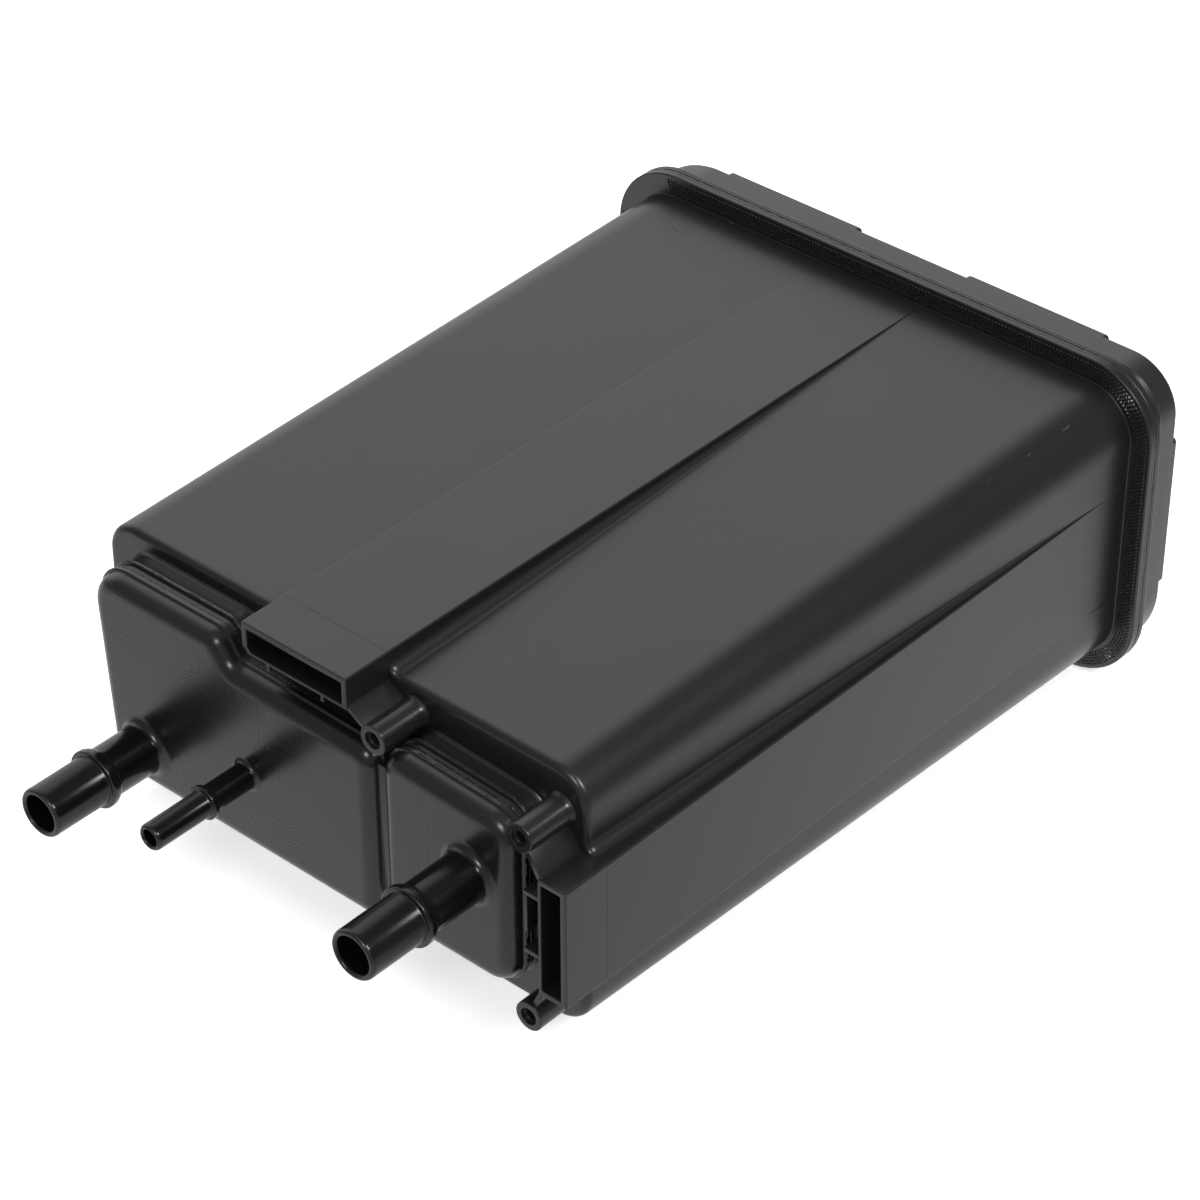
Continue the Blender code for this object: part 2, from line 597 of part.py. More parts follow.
def build_rear_cover(plastic):
    """Shallow rear cover with its weld rim, pads along its rear edge, stiffening ribs and spring seats."""
    reach = FLANGE_OUT - CAP_STEP
    rings = [(CAP_START, body_section(FLANGE_Y, FLANGE_OUT - FLANGE_EDGE)),
             (CAP_START + FLANGE_EDGE, body_section(FLANGE_Y, FLANGE_OUT)),
             (CAP_START + CAP_RIM, body_section(FLANGE_Y, FLANGE_OUT)),
             (CAP_START + CAP_RIM + CAP_SHOULDER, cap_section(reach))]
    for k in range(4):
        angle = math.pi / 2 * k / 3
        inset = CAP_EDGE * (1 - math.cos(angle))
        rings.append((CAP_END - CAP_EDGE * (1 - math.sin(angle)), cap_section(reach - inset)))
    cap = loft("rear_cover", rings, plastic)

    left, right, bottom, top, corner = body_size(FLANGE_Y)
    outer = reach - PAD_TUCK
    inner = outer - PAD_HEIGHT
    bm = bmesh.new()
    for x0, x1 in TOP_PADS:
        cap_pad(bm, x0, x1, top + inner, top + outer)
        cap_pad(bm, x0, x1, bottom - outer, bottom - inner)
    cap_pad(bm, right + inner, right + outer, *SIDE_PAD)
    cap_pad(bm, left - outer, left - inner, *SIDE_PAD)
    boolean(cap, finish("cut_cap_pads", bm), "UNION")

    bm = bmesh.new()
    half = CAP_RIB / 2
    for x in spread(left + CAP_RIB_MARGIN_X, right - CAP_RIB_MARGIN_X, CAP_RIB, CAP_RIB_PITCH_X):
        add_box(bm, x - half, x + half, CAP_END - OVERLAP, CAP_END + CAP_RIB_RISE,
                bottom + CAP_RIB_MARGIN_Z, top - CAP_RIB_MARGIN_Z)
    boolean(cap, finish("cut_cap_ribs_upright", bm), "UNION")
    bm = bmesh.new()
    for z in spread(bottom + CAP_RIB_MARGIN_Z, top - CAP_RIB_MARGIN_Z, CAP_RIB, CAP_RIB_PITCH_Z):
        add_box(bm, left + CAP_RIB_MARGIN_X, right - CAP_RIB_MARGIN_X,
                CAP_END - OVERLAP * 0.8, CAP_END + CAP_LEVEL_RISE, z - half, z + half)
    boolean(cap, finish("cut_cap_ribs_level", bm), "UNION")

    hollow = [(CAP_START - 1, body_section(FLANGE_Y, -WALL)),
              (CAP_INNER, body_section(FLANGE_Y, -WALL - 0.5))]
    boolean(cap, loft("cut_cap_hollow", hollow), "DIFFERENCE")
    bm = bmesh.new()
    for x, z in spring_places(True) + spring_places(False):
        tip, wall = circle(x, z, SEAT_RADIUS - 0.4, 20), circle(x, z, SEAT_RADIUS, 20)
        start = CAP_INNER - SEAT_HEIGHT
        add_loft(bm, [(start, tip), (start + 0.4, wall), (CAP_INNER + OVERLAP, wall)])
    boolean(cap, finish("cut_cap_seats", bm), "UNION")
    return cap


def chamber_block(name, tank, near, far, mat):
    """Solid pad or bed that fills a chamber between two Y positions."""
    return loft(name, [(near, chamber_section(near, tank, GAP)), (far, chamber_section(far, tank, GAP))], mat)


def spring_plate(name, tank, mat):
    """Slotted plate with a round seat for each spring."""
    near, far = PLATE_START, PLATE_START + PLATE_THICK
    seats = spring_places(tank)
    plate = chamber_block(name, tank, near, far, mat)
    bm = bmesh.new()
    for x, z in seats:
        tip, wall = circle(x, z, SEAT_RADIUS - 0.4, 20), circle(x, z, SEAT_RADIUS, 20)
        add_loft(bm, [(far - OVERLAP, wall), (far + SEAT_HEIGHT - 0.4, wall), (far + SEAT_HEIGHT, tip)])
    boolean(plate, finish("cut_seats_" + name, bm), "UNION")
    bm = bmesh.new()
    points = chamber_section(near, tank, GAP)
    left, right = min(p[0] for p in points), max(p[0] for p in points)
    bottom, top = min(p[1] for p in points), max(p[1] for p in points)
    rows = (bottom + SLOT_MARGIN_Z, (seats[0][1] + seats[-1][1]) / 2, top - SLOT_MARGIN_Z)
    for x in spread(left + SLOT_MARGIN_X, right - SLOT_MARGIN_X, SLOT_X, SLOT_PITCH_X):
        for z in rows:
            add_box(bm, x - SLOT_X / 2, x + SLOT_X / 2, near - 1, far + 1, z - SLOT_Z / 2, z + SLOT_Z / 2)
    boolean(plate, finish("cut_slots_" + name, bm), "DIFFERENCE")
    return plate


def spring(name, x, z, mat):
    """Compression spring along Y with closed end turns."""
    bm = bmesh.new()
    steps, sides = SPRING_STEPS, SPRING_SIDES
    total = int(steps * (SPRING_TURNS + 2))
    low, high = SPRING_START + SPRING_WIRE, SPRING_START + SPRING_LENGTH - SPRING_WIRE
    end_rise = SPRING_WIRE * 2 + 0.25
    rows = []
    for k in range(total + 1):
        turn = k / steps
        share = min(max((turn - 1) / SPRING_TURNS, 0.0), 1.0)
        ends = min(turn, 1.0) + max(turn - 1 - SPRING_TURNS, 0.0)
        y = low + end_rise * ends + (high - low - 2 * end_rise) * share
        angle = 2 * math.pi * turn
        row = []
        for s in range(sides):
            around = 2 * math.pi * s / sides
            radius = SPRING_RADIUS + SPRING_WIRE * math.cos(around)
            place = (x + radius * math.cos(angle), y + SPRING_WIRE * math.sin(around),
                     z + radius * math.sin(angle))
            row.append(bm.verts.new([value * MM for value in place]))
        rows.append(row)
    for near, far in zip(rows, rows[1:]):
        for s in range(sides):
            t = (s + 1) % sides
            bm.faces.new((near[s], near[t], far[t], far[s]))
    bm.faces.new(rows[0])
    bm.faces.new(rows[-1])
    return finish(name, bm, mat)


def centre_on_floor(parts):
    """Moves every mesh so that the bottom centre of the whole part is the origin."""
    graph = bpy.context.evaluated_depsgraph_get()
    low, high = np.full(3, np.inf), np.full(3, -np.inf)
    for part in parts:
        shape = part.evaluated_get(graph)
        mesh = shape.to_mesh()
        points = np.array([v.co[:] for v in mesh.vertices])
        low, high = np.minimum(low, points.min(axis=0)), np.maximum(high, points.max(axis=0))
        shape.to_mesh_clear()
    shift = -np.array(((low[0] + high[0]) / 2, (low[1] + high[1]) / 2, low[2]))
    for thing in bpy.data.objects:
        if thing.type == "MESH":
            for vertex in thing.data.vertices:
                vertex.co = tuple(np.array(vertex.co[:]) + shift)


def main():
    """Builds every piece of the canister."""
    for thing in list(bpy.data.objects):
        bpy.data.objects.remove(thing, do_unlink=True)
    housing_black = material("housing_black", (0.045, 0.045, 0.046), 0.45)
    port_black = material("port_cover_black", (0.03, 0.03, 0.031), 0.35)
    cap_black = material("rear_cover_black", (0.04, 0.04, 0.041), 0.45)
    parts = [build_housing(housing_black), build_port_cover(port_black), build_rear_cover(cap_black)]

    for side, tank in (("tank", True), ("vent", False)):
        foam = material(side + "_diffuser_foam", (0.16, 0.16, 0.17), 0.95)
        front_fleece = material(side + "_front_fleece", (0.62, 0.62, 0.6), 0.95)
        rear_fleece = material(side + "_rear_fleece", (0.6, 0.6, 0.58), 0.95)
        plate_grey = material(side + "_plate_plastic", (0.12, 0.12, 0.125), 0.5)
        shape = tank_outline if tank else vent_outline
        near, far = PLENUM_END - GAP - DIFFUSER_THICK, PLENUM_END - GAP
        parts.append(loft(side + "_diffuser", [(near, shape(-WALL - GAP)), (far, shape(-WALL - GAP))], foam))
        near, far = PACK_START, PACK_START + PAD_THICK
        parts.append(chamber_block(side + "_front_pad", tank, near, far, front_fleece))
        near, far = REAR_PAD_START, REAR_PAD_START + PAD_THICK
        parts.append(chamber_block(side + "_rear_pad", tank, near, far, rear_fleece))
        parts.append(spring_plate(side + "_spring_plate", tank, plate_grey))

    tank_carbon = material("tank_bed_carbon", (0.012, 0.012, 0.012), 0.9)
    parts.append(chamber_block("tank_carbon_bed", True, BED_START, BED_END, tank_carbon))
    middle = BED_START + (BED_END - BED_START) * SEPARATOR_SHARE
    inner_carbon = material("vent_inner_bed_carbon", (0.013, 0.013, 0.013), 0.9)
    outer_carbon = material("vent_outer_bed_carbon", (0.014, 0.014, 0.014), 0.9)
    separator = material("separator_fleece", (0.58, 0.58, 0.57), 0.95)
    parts.append(chamber_block("vent_outer_carbon_bed", False, BED_START, middle, outer_carbon))
    near, far = middle + GAP, middle + GAP + PAD_THICK
    parts.append(chamber_block("vent_separator_pad", False, near, far, separator))
    parts.append(chamber_block("vent_inner_carbon_bed", False, far + GAP, BED_END, inner_carbon))

    for side, tank in (("tank", True), ("vent", False)):
        for number, (x, z) in enumerate(spring_places(tank), 1):
            name = "%s_spring_%d" % (side, number)
            parts.append(spring(name, x, z, material(name + "_steel", (0.55, 0.55, 0.56), 0.3, 1.0)))
    centre_on_floor(parts)


main()
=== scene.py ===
import math
import random

import bmesh
import bpy
import numpy as np
from mathutils import Matrix, Vector


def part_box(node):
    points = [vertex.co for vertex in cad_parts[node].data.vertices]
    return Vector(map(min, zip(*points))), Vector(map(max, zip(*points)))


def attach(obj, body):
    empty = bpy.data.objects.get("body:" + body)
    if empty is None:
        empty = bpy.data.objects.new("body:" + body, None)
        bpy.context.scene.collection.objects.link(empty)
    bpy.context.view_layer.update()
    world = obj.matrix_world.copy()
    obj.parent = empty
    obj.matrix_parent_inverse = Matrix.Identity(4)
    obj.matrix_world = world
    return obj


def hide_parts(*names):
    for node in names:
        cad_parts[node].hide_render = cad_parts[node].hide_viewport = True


# Sizes are in millimetres in the drawing frame of the part: X along the front face, Y from the ports
# to the rear cover, Z up, with the socket mouths at Y = 0. SHIFT moves them to the frame of the model.
MM = 0.001
SHIFT = (31.0131, -113.35, 35.5463)

# Outlines and meshes: smallest round, guard points beside a round, distance in metres at which points
# merge, edge angles in degrees that stay sharp, and how far a round wall's normal may lean towards Y
LEAST_RADIUS, GUARD_MOST, GUARD_SHARE = 0.0002, 0.5, 0.1
MERGE_DISTANCE = 2e-6
SHARP_ANGLE, FLASH_ANGLE = 32.0, 60.0
WALL_LEAN = 0.3

# Body, as left, right, bottom, top and corner radius at its front and its rear
WALL = 2.5
FRONT_Y, REAR_Y = 16.6, 250.0
FRONT_BODY = (-126.4, 60.0, -25.4, 63.8, 11.5)
REAR_BODY = (-129.6, 67.5, -28.1, 70.6, 16.5)
FRONT_EDGE, FRONT_INNER = 2.2, 19.6
DRAFT_START, DRAFT_NEXT, DRAFT_ROWS = 19.3, 26.0, 32
PARTITION_LEFT, PARTITION_RIGHT, PARTITION_END, PARTITION_INSET = -4.4, -2.0, 251.2, 1.2

# Rear flange and the grooves that run round it and round the rear cover's rim
FLANGE_Y, FLANGE_END, FLANGE_OUT, FLANGE_EDGE, FLANGE_FILLET = 254.0, 257.0, 7.398, 0.5, 0.35
GROOVE = ((0.0, 0.0), (0.05, 0.11), (0.16, 0.11), (0.21, 0.0))

# Bracket rails and their sockets; a rail's height fades out where the body grows past it
RAIL_LEFT, RAIL_RIGHT, RAIL_TOP, RAIL_BOTTOM = -53.1, -12.6, 70.8, 60.1
SIDE_OUT, SIDE_IN, SIDE_LOW, SIDE_HIGH = 67.3, 57.0, -1.6, 39.5
RAIL_FOOT, RAIL_ROUND, FOOT_SHARE, ROUND_SHARE = 3.6, 0.55, 0.6, 0.3
RAIL_LEAST, RAIL_FADE = 0.0004, 0.0016
SOCKET_DEPTH, SOCKET_MOUTH = 15.0, 0.6
SOCKET_SIDE, SOCKET_FLOOR, SOCKET_ROOF = 1.9, 1.1, 2.2
SOCKET_CHAMFER, SOCKET_INNER_CHAMFER, SOCKET_INNER_ROUND = 2.4, 1.0, 0.3
SINK_DROP = 0.05

# Screw bosses, their webs as pairs of points in x and z, and the small ribs beside the sockets
BOSSES = ((-2.9, 55.1), (50.7, 50.0), (53.3, -11.8))
BOSS_RADIUS, BOSS_HOLE, BOSS_FRONT, BOSS_DEPTH = 4.7, 2.05, -0.3, 12.7
WEBS = (((RAIL_RIGHT - 0.7, RAIL_BOTTOM + 0.8), (BOSSES[0][0] - 2.6, BOSSES[0][1] + 1.5)),
        ((SIDE_IN + 0.7, SIDE_HIGH - 0.9), (BOSSES[1][0] + 1.6, BOSSES[1][1] - 2.7)),
        ((SIDE_IN + 0.9, SIDE_LOW + 0.9), (BOSSES[2][0] + 1.0, BOSSES[2][1] + 2.8)))
WEB_THICK, WEB_FRONT, WEB_EDGE = 1.8, 0.4, 0.22
TOP_RIBS, TOP_RIB_HALF, TOP_RIB_REACH, TOP_RIB_FRONT = (0.24, 0.76), 0.65, 1.9, 0.12
SIDE_RIBS, SIDE_RIB_HALF, SIDE_RIB_REACH, SIDE_RIB_FRONT = (0.3, 0.8), 0.75, 6.0, 0.8
TAB_NEAR, TAB_FAR, TAB_DROP, TAB_RISE, TAB_FRONT = 5.85, 4.75, 14.0, 0.4, 1.0
ROOTED = 0.8

# Two halves of the port cover as corners in x and z with their radii, and the bridge between them
SEAM_Y, GAP = 8.0, 0.3
TANK_SHAPE = ([(-112.8, -12.0), (-4.8, -12.0), (-4.8, 48.2), (-60.0, 49.6), (-66.0, 58.3), (-117.6, 58.3)],
              [9.0, 6.0, 6.0, 6.0, 6.0, 11.0])
VENT_SHAPE = ([(-1.6, -8.0), (46.8, -8.0), (46.8, 50.2), (-1.6, 52.6)], [6.0, 9.0, 9.0, 8.0])
COVER_EDGE, COVER_EDGE_DEPTH = 5.0, 0.96
BRIDGE_LEFT, BRIDGE_RIGHT, BRIDGE_LOW, BRIDGE_HIGH = -6.8, 0.4, -3.0, 44.0
BRIDGE_FRONT, BRIDGE_GAP = 3.2, 0.65
VALLEY_X = -3.0

# Grille fields as left, right, bottom and top, with hole sizes and pitches in x and z
GRILLE_FIELDS = ((-110.3, -4.4, -9.5, 45.7), (-2.0, 44.3, -5.5, 47.7))
GRILLE_MARGIN, GRILLE_WIDE, GRILLE_HIGH = 3.5, 10.4, 9.6
GRILLE_PITCH_X, GRILLE_PITCH_Z = 12.8, 12.2

# Ports as x, z and the tip's y, and their sizes as shank, bore and bead radius and bead length
TANK_PORT = (-98.2, 2.8, -41.5)
PURGE_PORT = (-55.0, 15.3, -38.0)
VENT_PORT = (31.6, 27.0, -45.0)
LARGE, SMALL = (7.9, 5.9, 9.4, 5.2), (4.2, 2.6, 5.4, 3.4)
BEAD_FROM_TIP, PORT_BLEND = 20.5, 0.36

# Knurl on the flange's front face: rows, their pitch, and the points along a row
KNURL_SEED, KNURL_ROWS, KNURL_START, KNURL_ROW_PITCH = 4, 5, 1.75, 0.98
KNURL_PITCH, KNURL_TALL, KNURL_WIDE, KNURL_TIP = 1.28, 0.47, 0.62, 0.4
KNURL_FREE_CORNER, KNURL_SINK = 0.8, 0.05

# Rear cover, its pads and the ribs on its back
CAP_START, CAP_END, CAP_INNER = 257.3, 270.1, 267.5
CAP_RIM, CAP_SHOULDER, CAP_STEP, CAP_EDGE = 2.4, 1.0, 1.4, 2.2
CAP_CORNERS = [22.5, 22.5, 11.5, 22.5]
TOP_PADS, SIDE_PAD = ((-103.7, -49.2), (-7.6, 46.3)), (-2.3, 51.3)
PAD_REACH, PAD_EDGE, PAD_TUCK, PAD_HEIGHT, PAD_ROUND = 1.0, 1.0, 0.05, 8.0, 1.6
RIB_WIDE, RIB_EDGE, RIB_INSET_X, RIB_INSET_Z = 2.2, 0.4, 12.0, 8.0
RIB_PITCH_X, RIB_PITCH_Z = 32.0, 38.0
SEAT_RADIUS, SEAT_HEIGHT = 8.6, 3.0

# Weld flash: spots along a bead, its swing in height, and the places of the beads at a seam
FLASH_SPOTS_PER_MM, FLASH_SIDES, FLASH_SWING = 2.4, 6, 0.8
FLASH_LEAST, FLASH_MOST, FLASH_ROLL = 0.25, 1.45, 0.3
TANK_FLASH, VENT_FLASH = 0.2, 0.32
FLASH_OUT, FLASH_BEHIND, FLASH_BEFORE, FLASH_WIDE = 0.84, 2.1, 2.2, 0.2
FLASH_SWAY, SEAM_SWAY = 0.12, 0.1
SEAM_WIDE, BEFORE_SHARE, SEAM_SHARE = 0.24, 0.8, 0.9
TANK_SEEDS, VENT_SEEDS = (11, 21, 31), (12, 22, 32)
REAR_FLASH_INSET, REAR_FLASH_BEHIND, REAR_FLASH_WIDE, REAR_FLASH, REAR_SEED = 0.35, 0.12, 0.28, 0.2, 41

# Stage, with lamps as name, place and size in metres, watts and whether gloss shows them
LAMPS = (("overhead", (0.0, 0.0, 2.6), 3.0, 56.0, False),
         ("front", (0.55, -1.05, 0.95), 0.34, 4.6, True),
         ("right", (1.09, 0.0, 1.04), 0.34, 8.5, True))
LAMP_AIM = (0.0, 0.0, 0.05)

# Floor paper as seen by the camera, then its glow in reflections, which fades with the distance from a
# point behind the part; the white sweep in reflections by direction, and the level of all other light
FLOOR_HALF, FLOOR_GREY, FLOOR_ROUGH, FLOOR_WHITE = 6.0, 0.9, 0.9, 0.6
GLOW_POINT, GLOW_NEAR, GLOW_FAR = (-0.22, 0.26, 0.0), 0.3, 0.75
GLOW_FULL, GLOW_LEAST = 1.08, 0.25
SWEEP, SWEEP_START, SWEEP_FULL = (-0.786, 0.491, 0.375), 0.6, 0.87
SWEEP_LEAST, SWEEP_MOST = 0.2, 1.1
SOFT_LEVEL = 0.42

# Camera, with its place in the drawing frame, its lens in millimetres and its roll in degrees
CAMERA_RIGHT, CAMERA_BACK = (0.74811, 0.66358, 0.0), (0.53503, -0.60325, 0.59146)
CAMERA_PLACE, CAMERA_ROLL = (594.585, -580.783, 711.634), -0.09
CAMERA_LENS, CAMERA_SENSOR, CAMERA_REACH = 117.0, 36.0, 30.0


def place(x, y, z):
    """A point of the drawing frame in the frame of the model, in metres."""
    return ((x + SHIFT[0]) * MM, (y + SHIFT[1]) * MM, (z + SHIFT[2]) * MM)


def outline(corners, radii, steps=12, offset=0.0):
    """Rounded outline of an anticlockwise polygon in x and z.

    Each round has a guard point on both sides, so that smooth shading stays flat beside it."""
    corners = [np.array(c, float) for c in corners]
    count = len(corners)
    lines = []
    for i in range(count):
        along = corners[(i + 1) % count] - corners[i]
        along = along / np.linalg.norm(along)
        lines.append((corners[i] + np.array((along[1], -along[0])) * offset, along))
    rounds = []
    for i in range(count):
        (a, u), (b, v) = lines[i - 1], lines[i]
        turn = u[0] * v[1] - u[1] * v[0]
        corner = a + u * (((b[0] - a[0]) * v[1] - (b[1] - a[1]) * v[0]) / turn)
        side = 1.0 if turn > 0 else -1.0
        radius = max(radii[i] + offset * side, LEAST_RADIUS)
        angle = math.atan2(turn, float(u @ v))
        rounds.append((corner, u, v, radius * side, angle, radius * math.tan(abs(angle) / 2)))
    points = []
    for i, (corner, u, v, radius, angle, tangent) in enumerate(rounds):
        last, following = rounds[i - 1], rounds[(i + 1) % count]
        before = np.linalg.norm(corner - last[0]) - last[5] - tangent
        after = np.linalg.norm(following[0] - corner) - following[5] - tangent
        start = corner - u * tangent
        centre = start + np.array((-u[1], u[0])) * radius
        arm = start - centre
        points.append(start - u * min(GUARD_MOST, abs(before) * GUARD_SHARE))
        for k in range(steps + 1):
            turned = angle * k / steps
            c, s = math.cos(turned), math.sin(turned)
            points.append(centre + np.array((arm[0] * c - arm[1] * s, arm[0] * s + arm[1] * c)))
        points.append(corner + v * (tangent + min(GUARD_MOST, abs(after) * GUARD_SHARE)))
    return [(float(p[0]), float(p[1])) for p in points]


def body_size(y):
    """Left, right, bottom, top and corner radius of the drafted body at one Y."""
    share = (y - FRONT_Y) / (REAR_Y - FRONT_Y)
    return [a + (b - a) * share for a, b in zip(FRONT_BODY, REAR_BODY)]


def above(height):
    """Height that fades smoothly to nothing instead of going below zero."""
    return max(0.5 * (height + math.sqrt(height * height + RAIL_FADE)), RAIL_LEAST)


def body_outline(y, offset=0.0, rails=True, drop=0.0):
    """Outline of the body with its two rails at one Y.

    The rails keep their place while the body moves out by the offset."""
    left, right, bottom, top, corner = body_size(y)
    left, right, bottom, top = left - offset, right + offset, bottom - offset, top + offset
    corner = max(corner + offset, 0.5)
    over = above(RAIL_TOP - drop - top) if rails else RAIL_LEAST
    out = above(SIDE_OUT - drop - right) if rails else RAIL_LEAST
    foot, edge = min(RAIL_FOOT, over * FOOT_SHARE), min(RAIL_ROUND, over * ROUND_SHARE)
    side_foot, side_edge = min(RAIL_FOOT, out * FOOT_SHARE), min(RAIL_ROUND, out * ROUND_SHARE)
    side_rail = [(right, SIDE_LOW), (right + out, SIDE_LOW), (right + out, SIDE_HIGH), (right, SIDE_HIGH)]
    top_rail = [(RAIL_RIGHT, top), (RAIL_RIGHT, top + over), (RAIL_LEFT, top + over), (RAIL_LEFT, top)]
    corners = [(left, bottom), (right, bottom)] + side_rail + [(right, top)] + top_rail + [(left, top)]
    side_radii = [side_foot, side_edge, side_edge, side_foot]
    radii = [corner, corner] + side_radii + [corner, foot, edge, edge, foot, corner]
    return outline(corners, radii, 12)


def add_shell(bm, rows, loop=False):
    """Adds one closed shell over rows of points.

    The first row becomes a rim that is extruded from row to row and closed at both ends. A loop ends on
    its first row instead."""
    before = set(bm.faces)
    line = [bm.verts.new(place(*p)) for p in rows[0]]
    rim = [bm.edges.new((a, b)) for a, b in zip(line, line[1:] + line[:1])]
    verts = set(line)
    if not loop:
        bm.faces.new(line)
    for row in rows[1:] + rows[:1] * loop:
        grown = bmesh.ops.extrude_edge_only(bm, edges=rim)["geom"]
        fresh = {g for g in grown if isinstance(g, bmesh.types.BMVert)}
        rim = [g for g in grown if isinstance(g, bmesh.types.BMEdge) and set(g.verts) <= fresh]
        line = [next(e.other_vert(v) for e in v.link_edges if e.other_vert(v) in fresh) for v in line]
        for v, point in zip(line, row):
            v.co = place(*point)
        verts |= fresh
    if not loop:
        bm.faces.new(line)
    bmesh.ops.remove_doubles(bm, verts=list(verts), dist=MERGE_DISTANCE)
    bmesh.ops.recalc_face_normals(bm, faces=[f for f in bm.faces if f not in before])


def add_turned(bm, x, z, profile, loop=False, steps=72, walls=0):
    """Spins a profile of (y, radius) about an axis along Y.

    An open profile is closed on the axis, and the round walls take the material number given."""
    before = set(bm.faces)
    points = profile if loop else [(profile[0][0], 0.0)] + profile + [(profile[-1][0], 0.0)]
    verts = [bm.verts.new(place(x + radius, y, z)) for y, radius in points]
    edges = [bm.edges.new((a, b)) for a, b in zip(verts, verts[1:] + (verts[:1] if loop else []))]
    bmesh.ops.spin(bm, geom=verts + edges, cent=place(x, 0.0, z), axis=(0.0, 1.0, 0.0),
                   dvec=(0.0, 0.0, 0.0), angle=2 * math.pi, steps=steps, use_merge=True)
    spun = [f for f in bm.faces if f not in before]
    bmesh.ops.remove_doubles(bm, verts=list({v for f in spun for v in f.verts}), dist=MERGE_DISTANCE)
    spun = [f for f in bm.faces if f not in before]
    bmesh.ops.recalc_face_normals(bm, faces=spun)
    for face in spun:
        face.normal_update()
        face.material_index = walls if abs(face.normal.y) < WALL_LEAN else 0


def add_rod(bm, x, z, radius, near, far):
    """Adds a plain rod along Y."""
    where = Matrix.Translation(place(x, (near + far) / 2, z)) @ Matrix.Rotation(math.pi / 2, 4, "X")
    bmesh.ops.create_cone(bm, cap_ends=True, segments=72, radius1=radius * MM, radius2=radius * MM,
                          depth=(far - near) * MM, matrix=where)


def level(y, points):
    """A row of points at one Y."""
    return [(x, y, z) for x, z in points]


def finish(name, bm, angle=SHARP_ANGLE):
    """Turns a bmesh into a smooth object whose edges above the angle stay sharp."""
    mesh = bpy.data.meshes.new(name)
    bm.to_mesh(mesh)
    bm.free()
    made = bpy.data.objects.new(name, mesh)
    bpy.context.scene.collection.objects.link(made)
    shade(made, angle)
    return made


def shade(made, angle=SHARP_ANGLE):
    """Smooth shading with sharp edges above the angle."""
    for face in made.data.polygons:
        face.use_smooth = True
    made.data.set_sharp_from_angle(angle=math.radians(angle))


def carve(target, bm):
    """Cuts a bmesh out of the target with an exact boolean."""
    cutter = finish("carver", bm)
    step = target.modifiers.new("carve", "BOOLEAN")
    step.operation = "DIFFERENCE"
    step.solver = "EXACT"
    step.object = cutter
    graph = bpy.context.evaluated_depsgraph_get()
    mesh = bpy.data.meshes.new_from_object(target.evaluated_get(graph))
    target.modifiers.clear()
    old = target.data
    name = old.name
    target.data = mesh
    bpy.data.meshes.remove(old)
    mesh.name = name
    bpy.data.objects.remove(cutter, do_unlink=True)
    shade(target)


def join(target, others):
    """Joins objects into the target."""
    bm = bmesh.new()
    for thing in [target] + others:
        bm.from_mesh(thing.data)
    bm.to_mesh(target.data)
    bm.free()
    for thing in others:
        bpy.data.objects.remove(thing, do_unlink=True)
    shade(target)


def arc(near, far, y0, y1, count=6, bulge_first=True):
    """Pairs of (size, y) along a quarter ellipse from (near, y0) to (far, y1)."""
    pairs = []
    for k in range(count + 1):
        a = math.pi / 2 * k / count
        s, c = math.sin(a), 1 - math.cos(a)
        if bulge_first:
            pairs.append((near + (far - near) * s, y0 + (y1 - y0) * c))
        else:
            pairs.append((near + (far - near) * c, y0 + (y1 - y0) * s))
    return pairs


def bend(near, far, y0, y1, count=6, bulge_first=True):
    """The curve of arc() as pairs of (y, size)."""
    return [(y, size) for size, y in arc(near, far, y0, y1, count, bulge_first)]


def soften(bm, edges, size, segments):
    """Rounds edges."""
    bmesh.ops.bevel(bm, geom=edges, offset=size * MM, segments=segments, profile=0.5, affect="EDGES",
                    material=-1)


def add_block(bm, low, high, edge, segments=2):
    """Adds a block between two corners, with rounded edges where the edge isn't zero."""
    size = [(h - l) * MM for l, h in zip(low, high)]
    centre = place(*[(l + h) / 2 for l, h in zip(low, high)])
    where = Matrix.Translation(centre) @ Matrix.Diagonal(size + [1.0])
    made = bmesh.ops.create_cube(bm, size=1.0, matrix=where)
    if edge:
        soften(bm, list({e for v in made["verts"] for e in v.link_edges}), edge, segments)


def add_prism(bm, shape, near, far, edge):
    """Adds a prism along Y over a polygon in x and z, with rounded edges."""
    base = bm.faces.new([bm.verts.new(place(x, near, z)) for x, z in shape])
    grown = bmesh.ops.extrude_face_region(bm, geom=[base], use_keep_orig=True)["geom"]
    top = [g for g in grown if isinstance(g, bmesh.types.BMVert)]
    bmesh.ops.translate(bm, verts=top, vec=(0.0, (far - near) * MM, 0.0))
    faces = list({f for v in top for f in v.link_faces} | {base})
    bmesh.ops.recalc_face_normals(bm, faces=faces)
    soften(bm, list({e for f in faces for e in f.edges}), edge, 2)


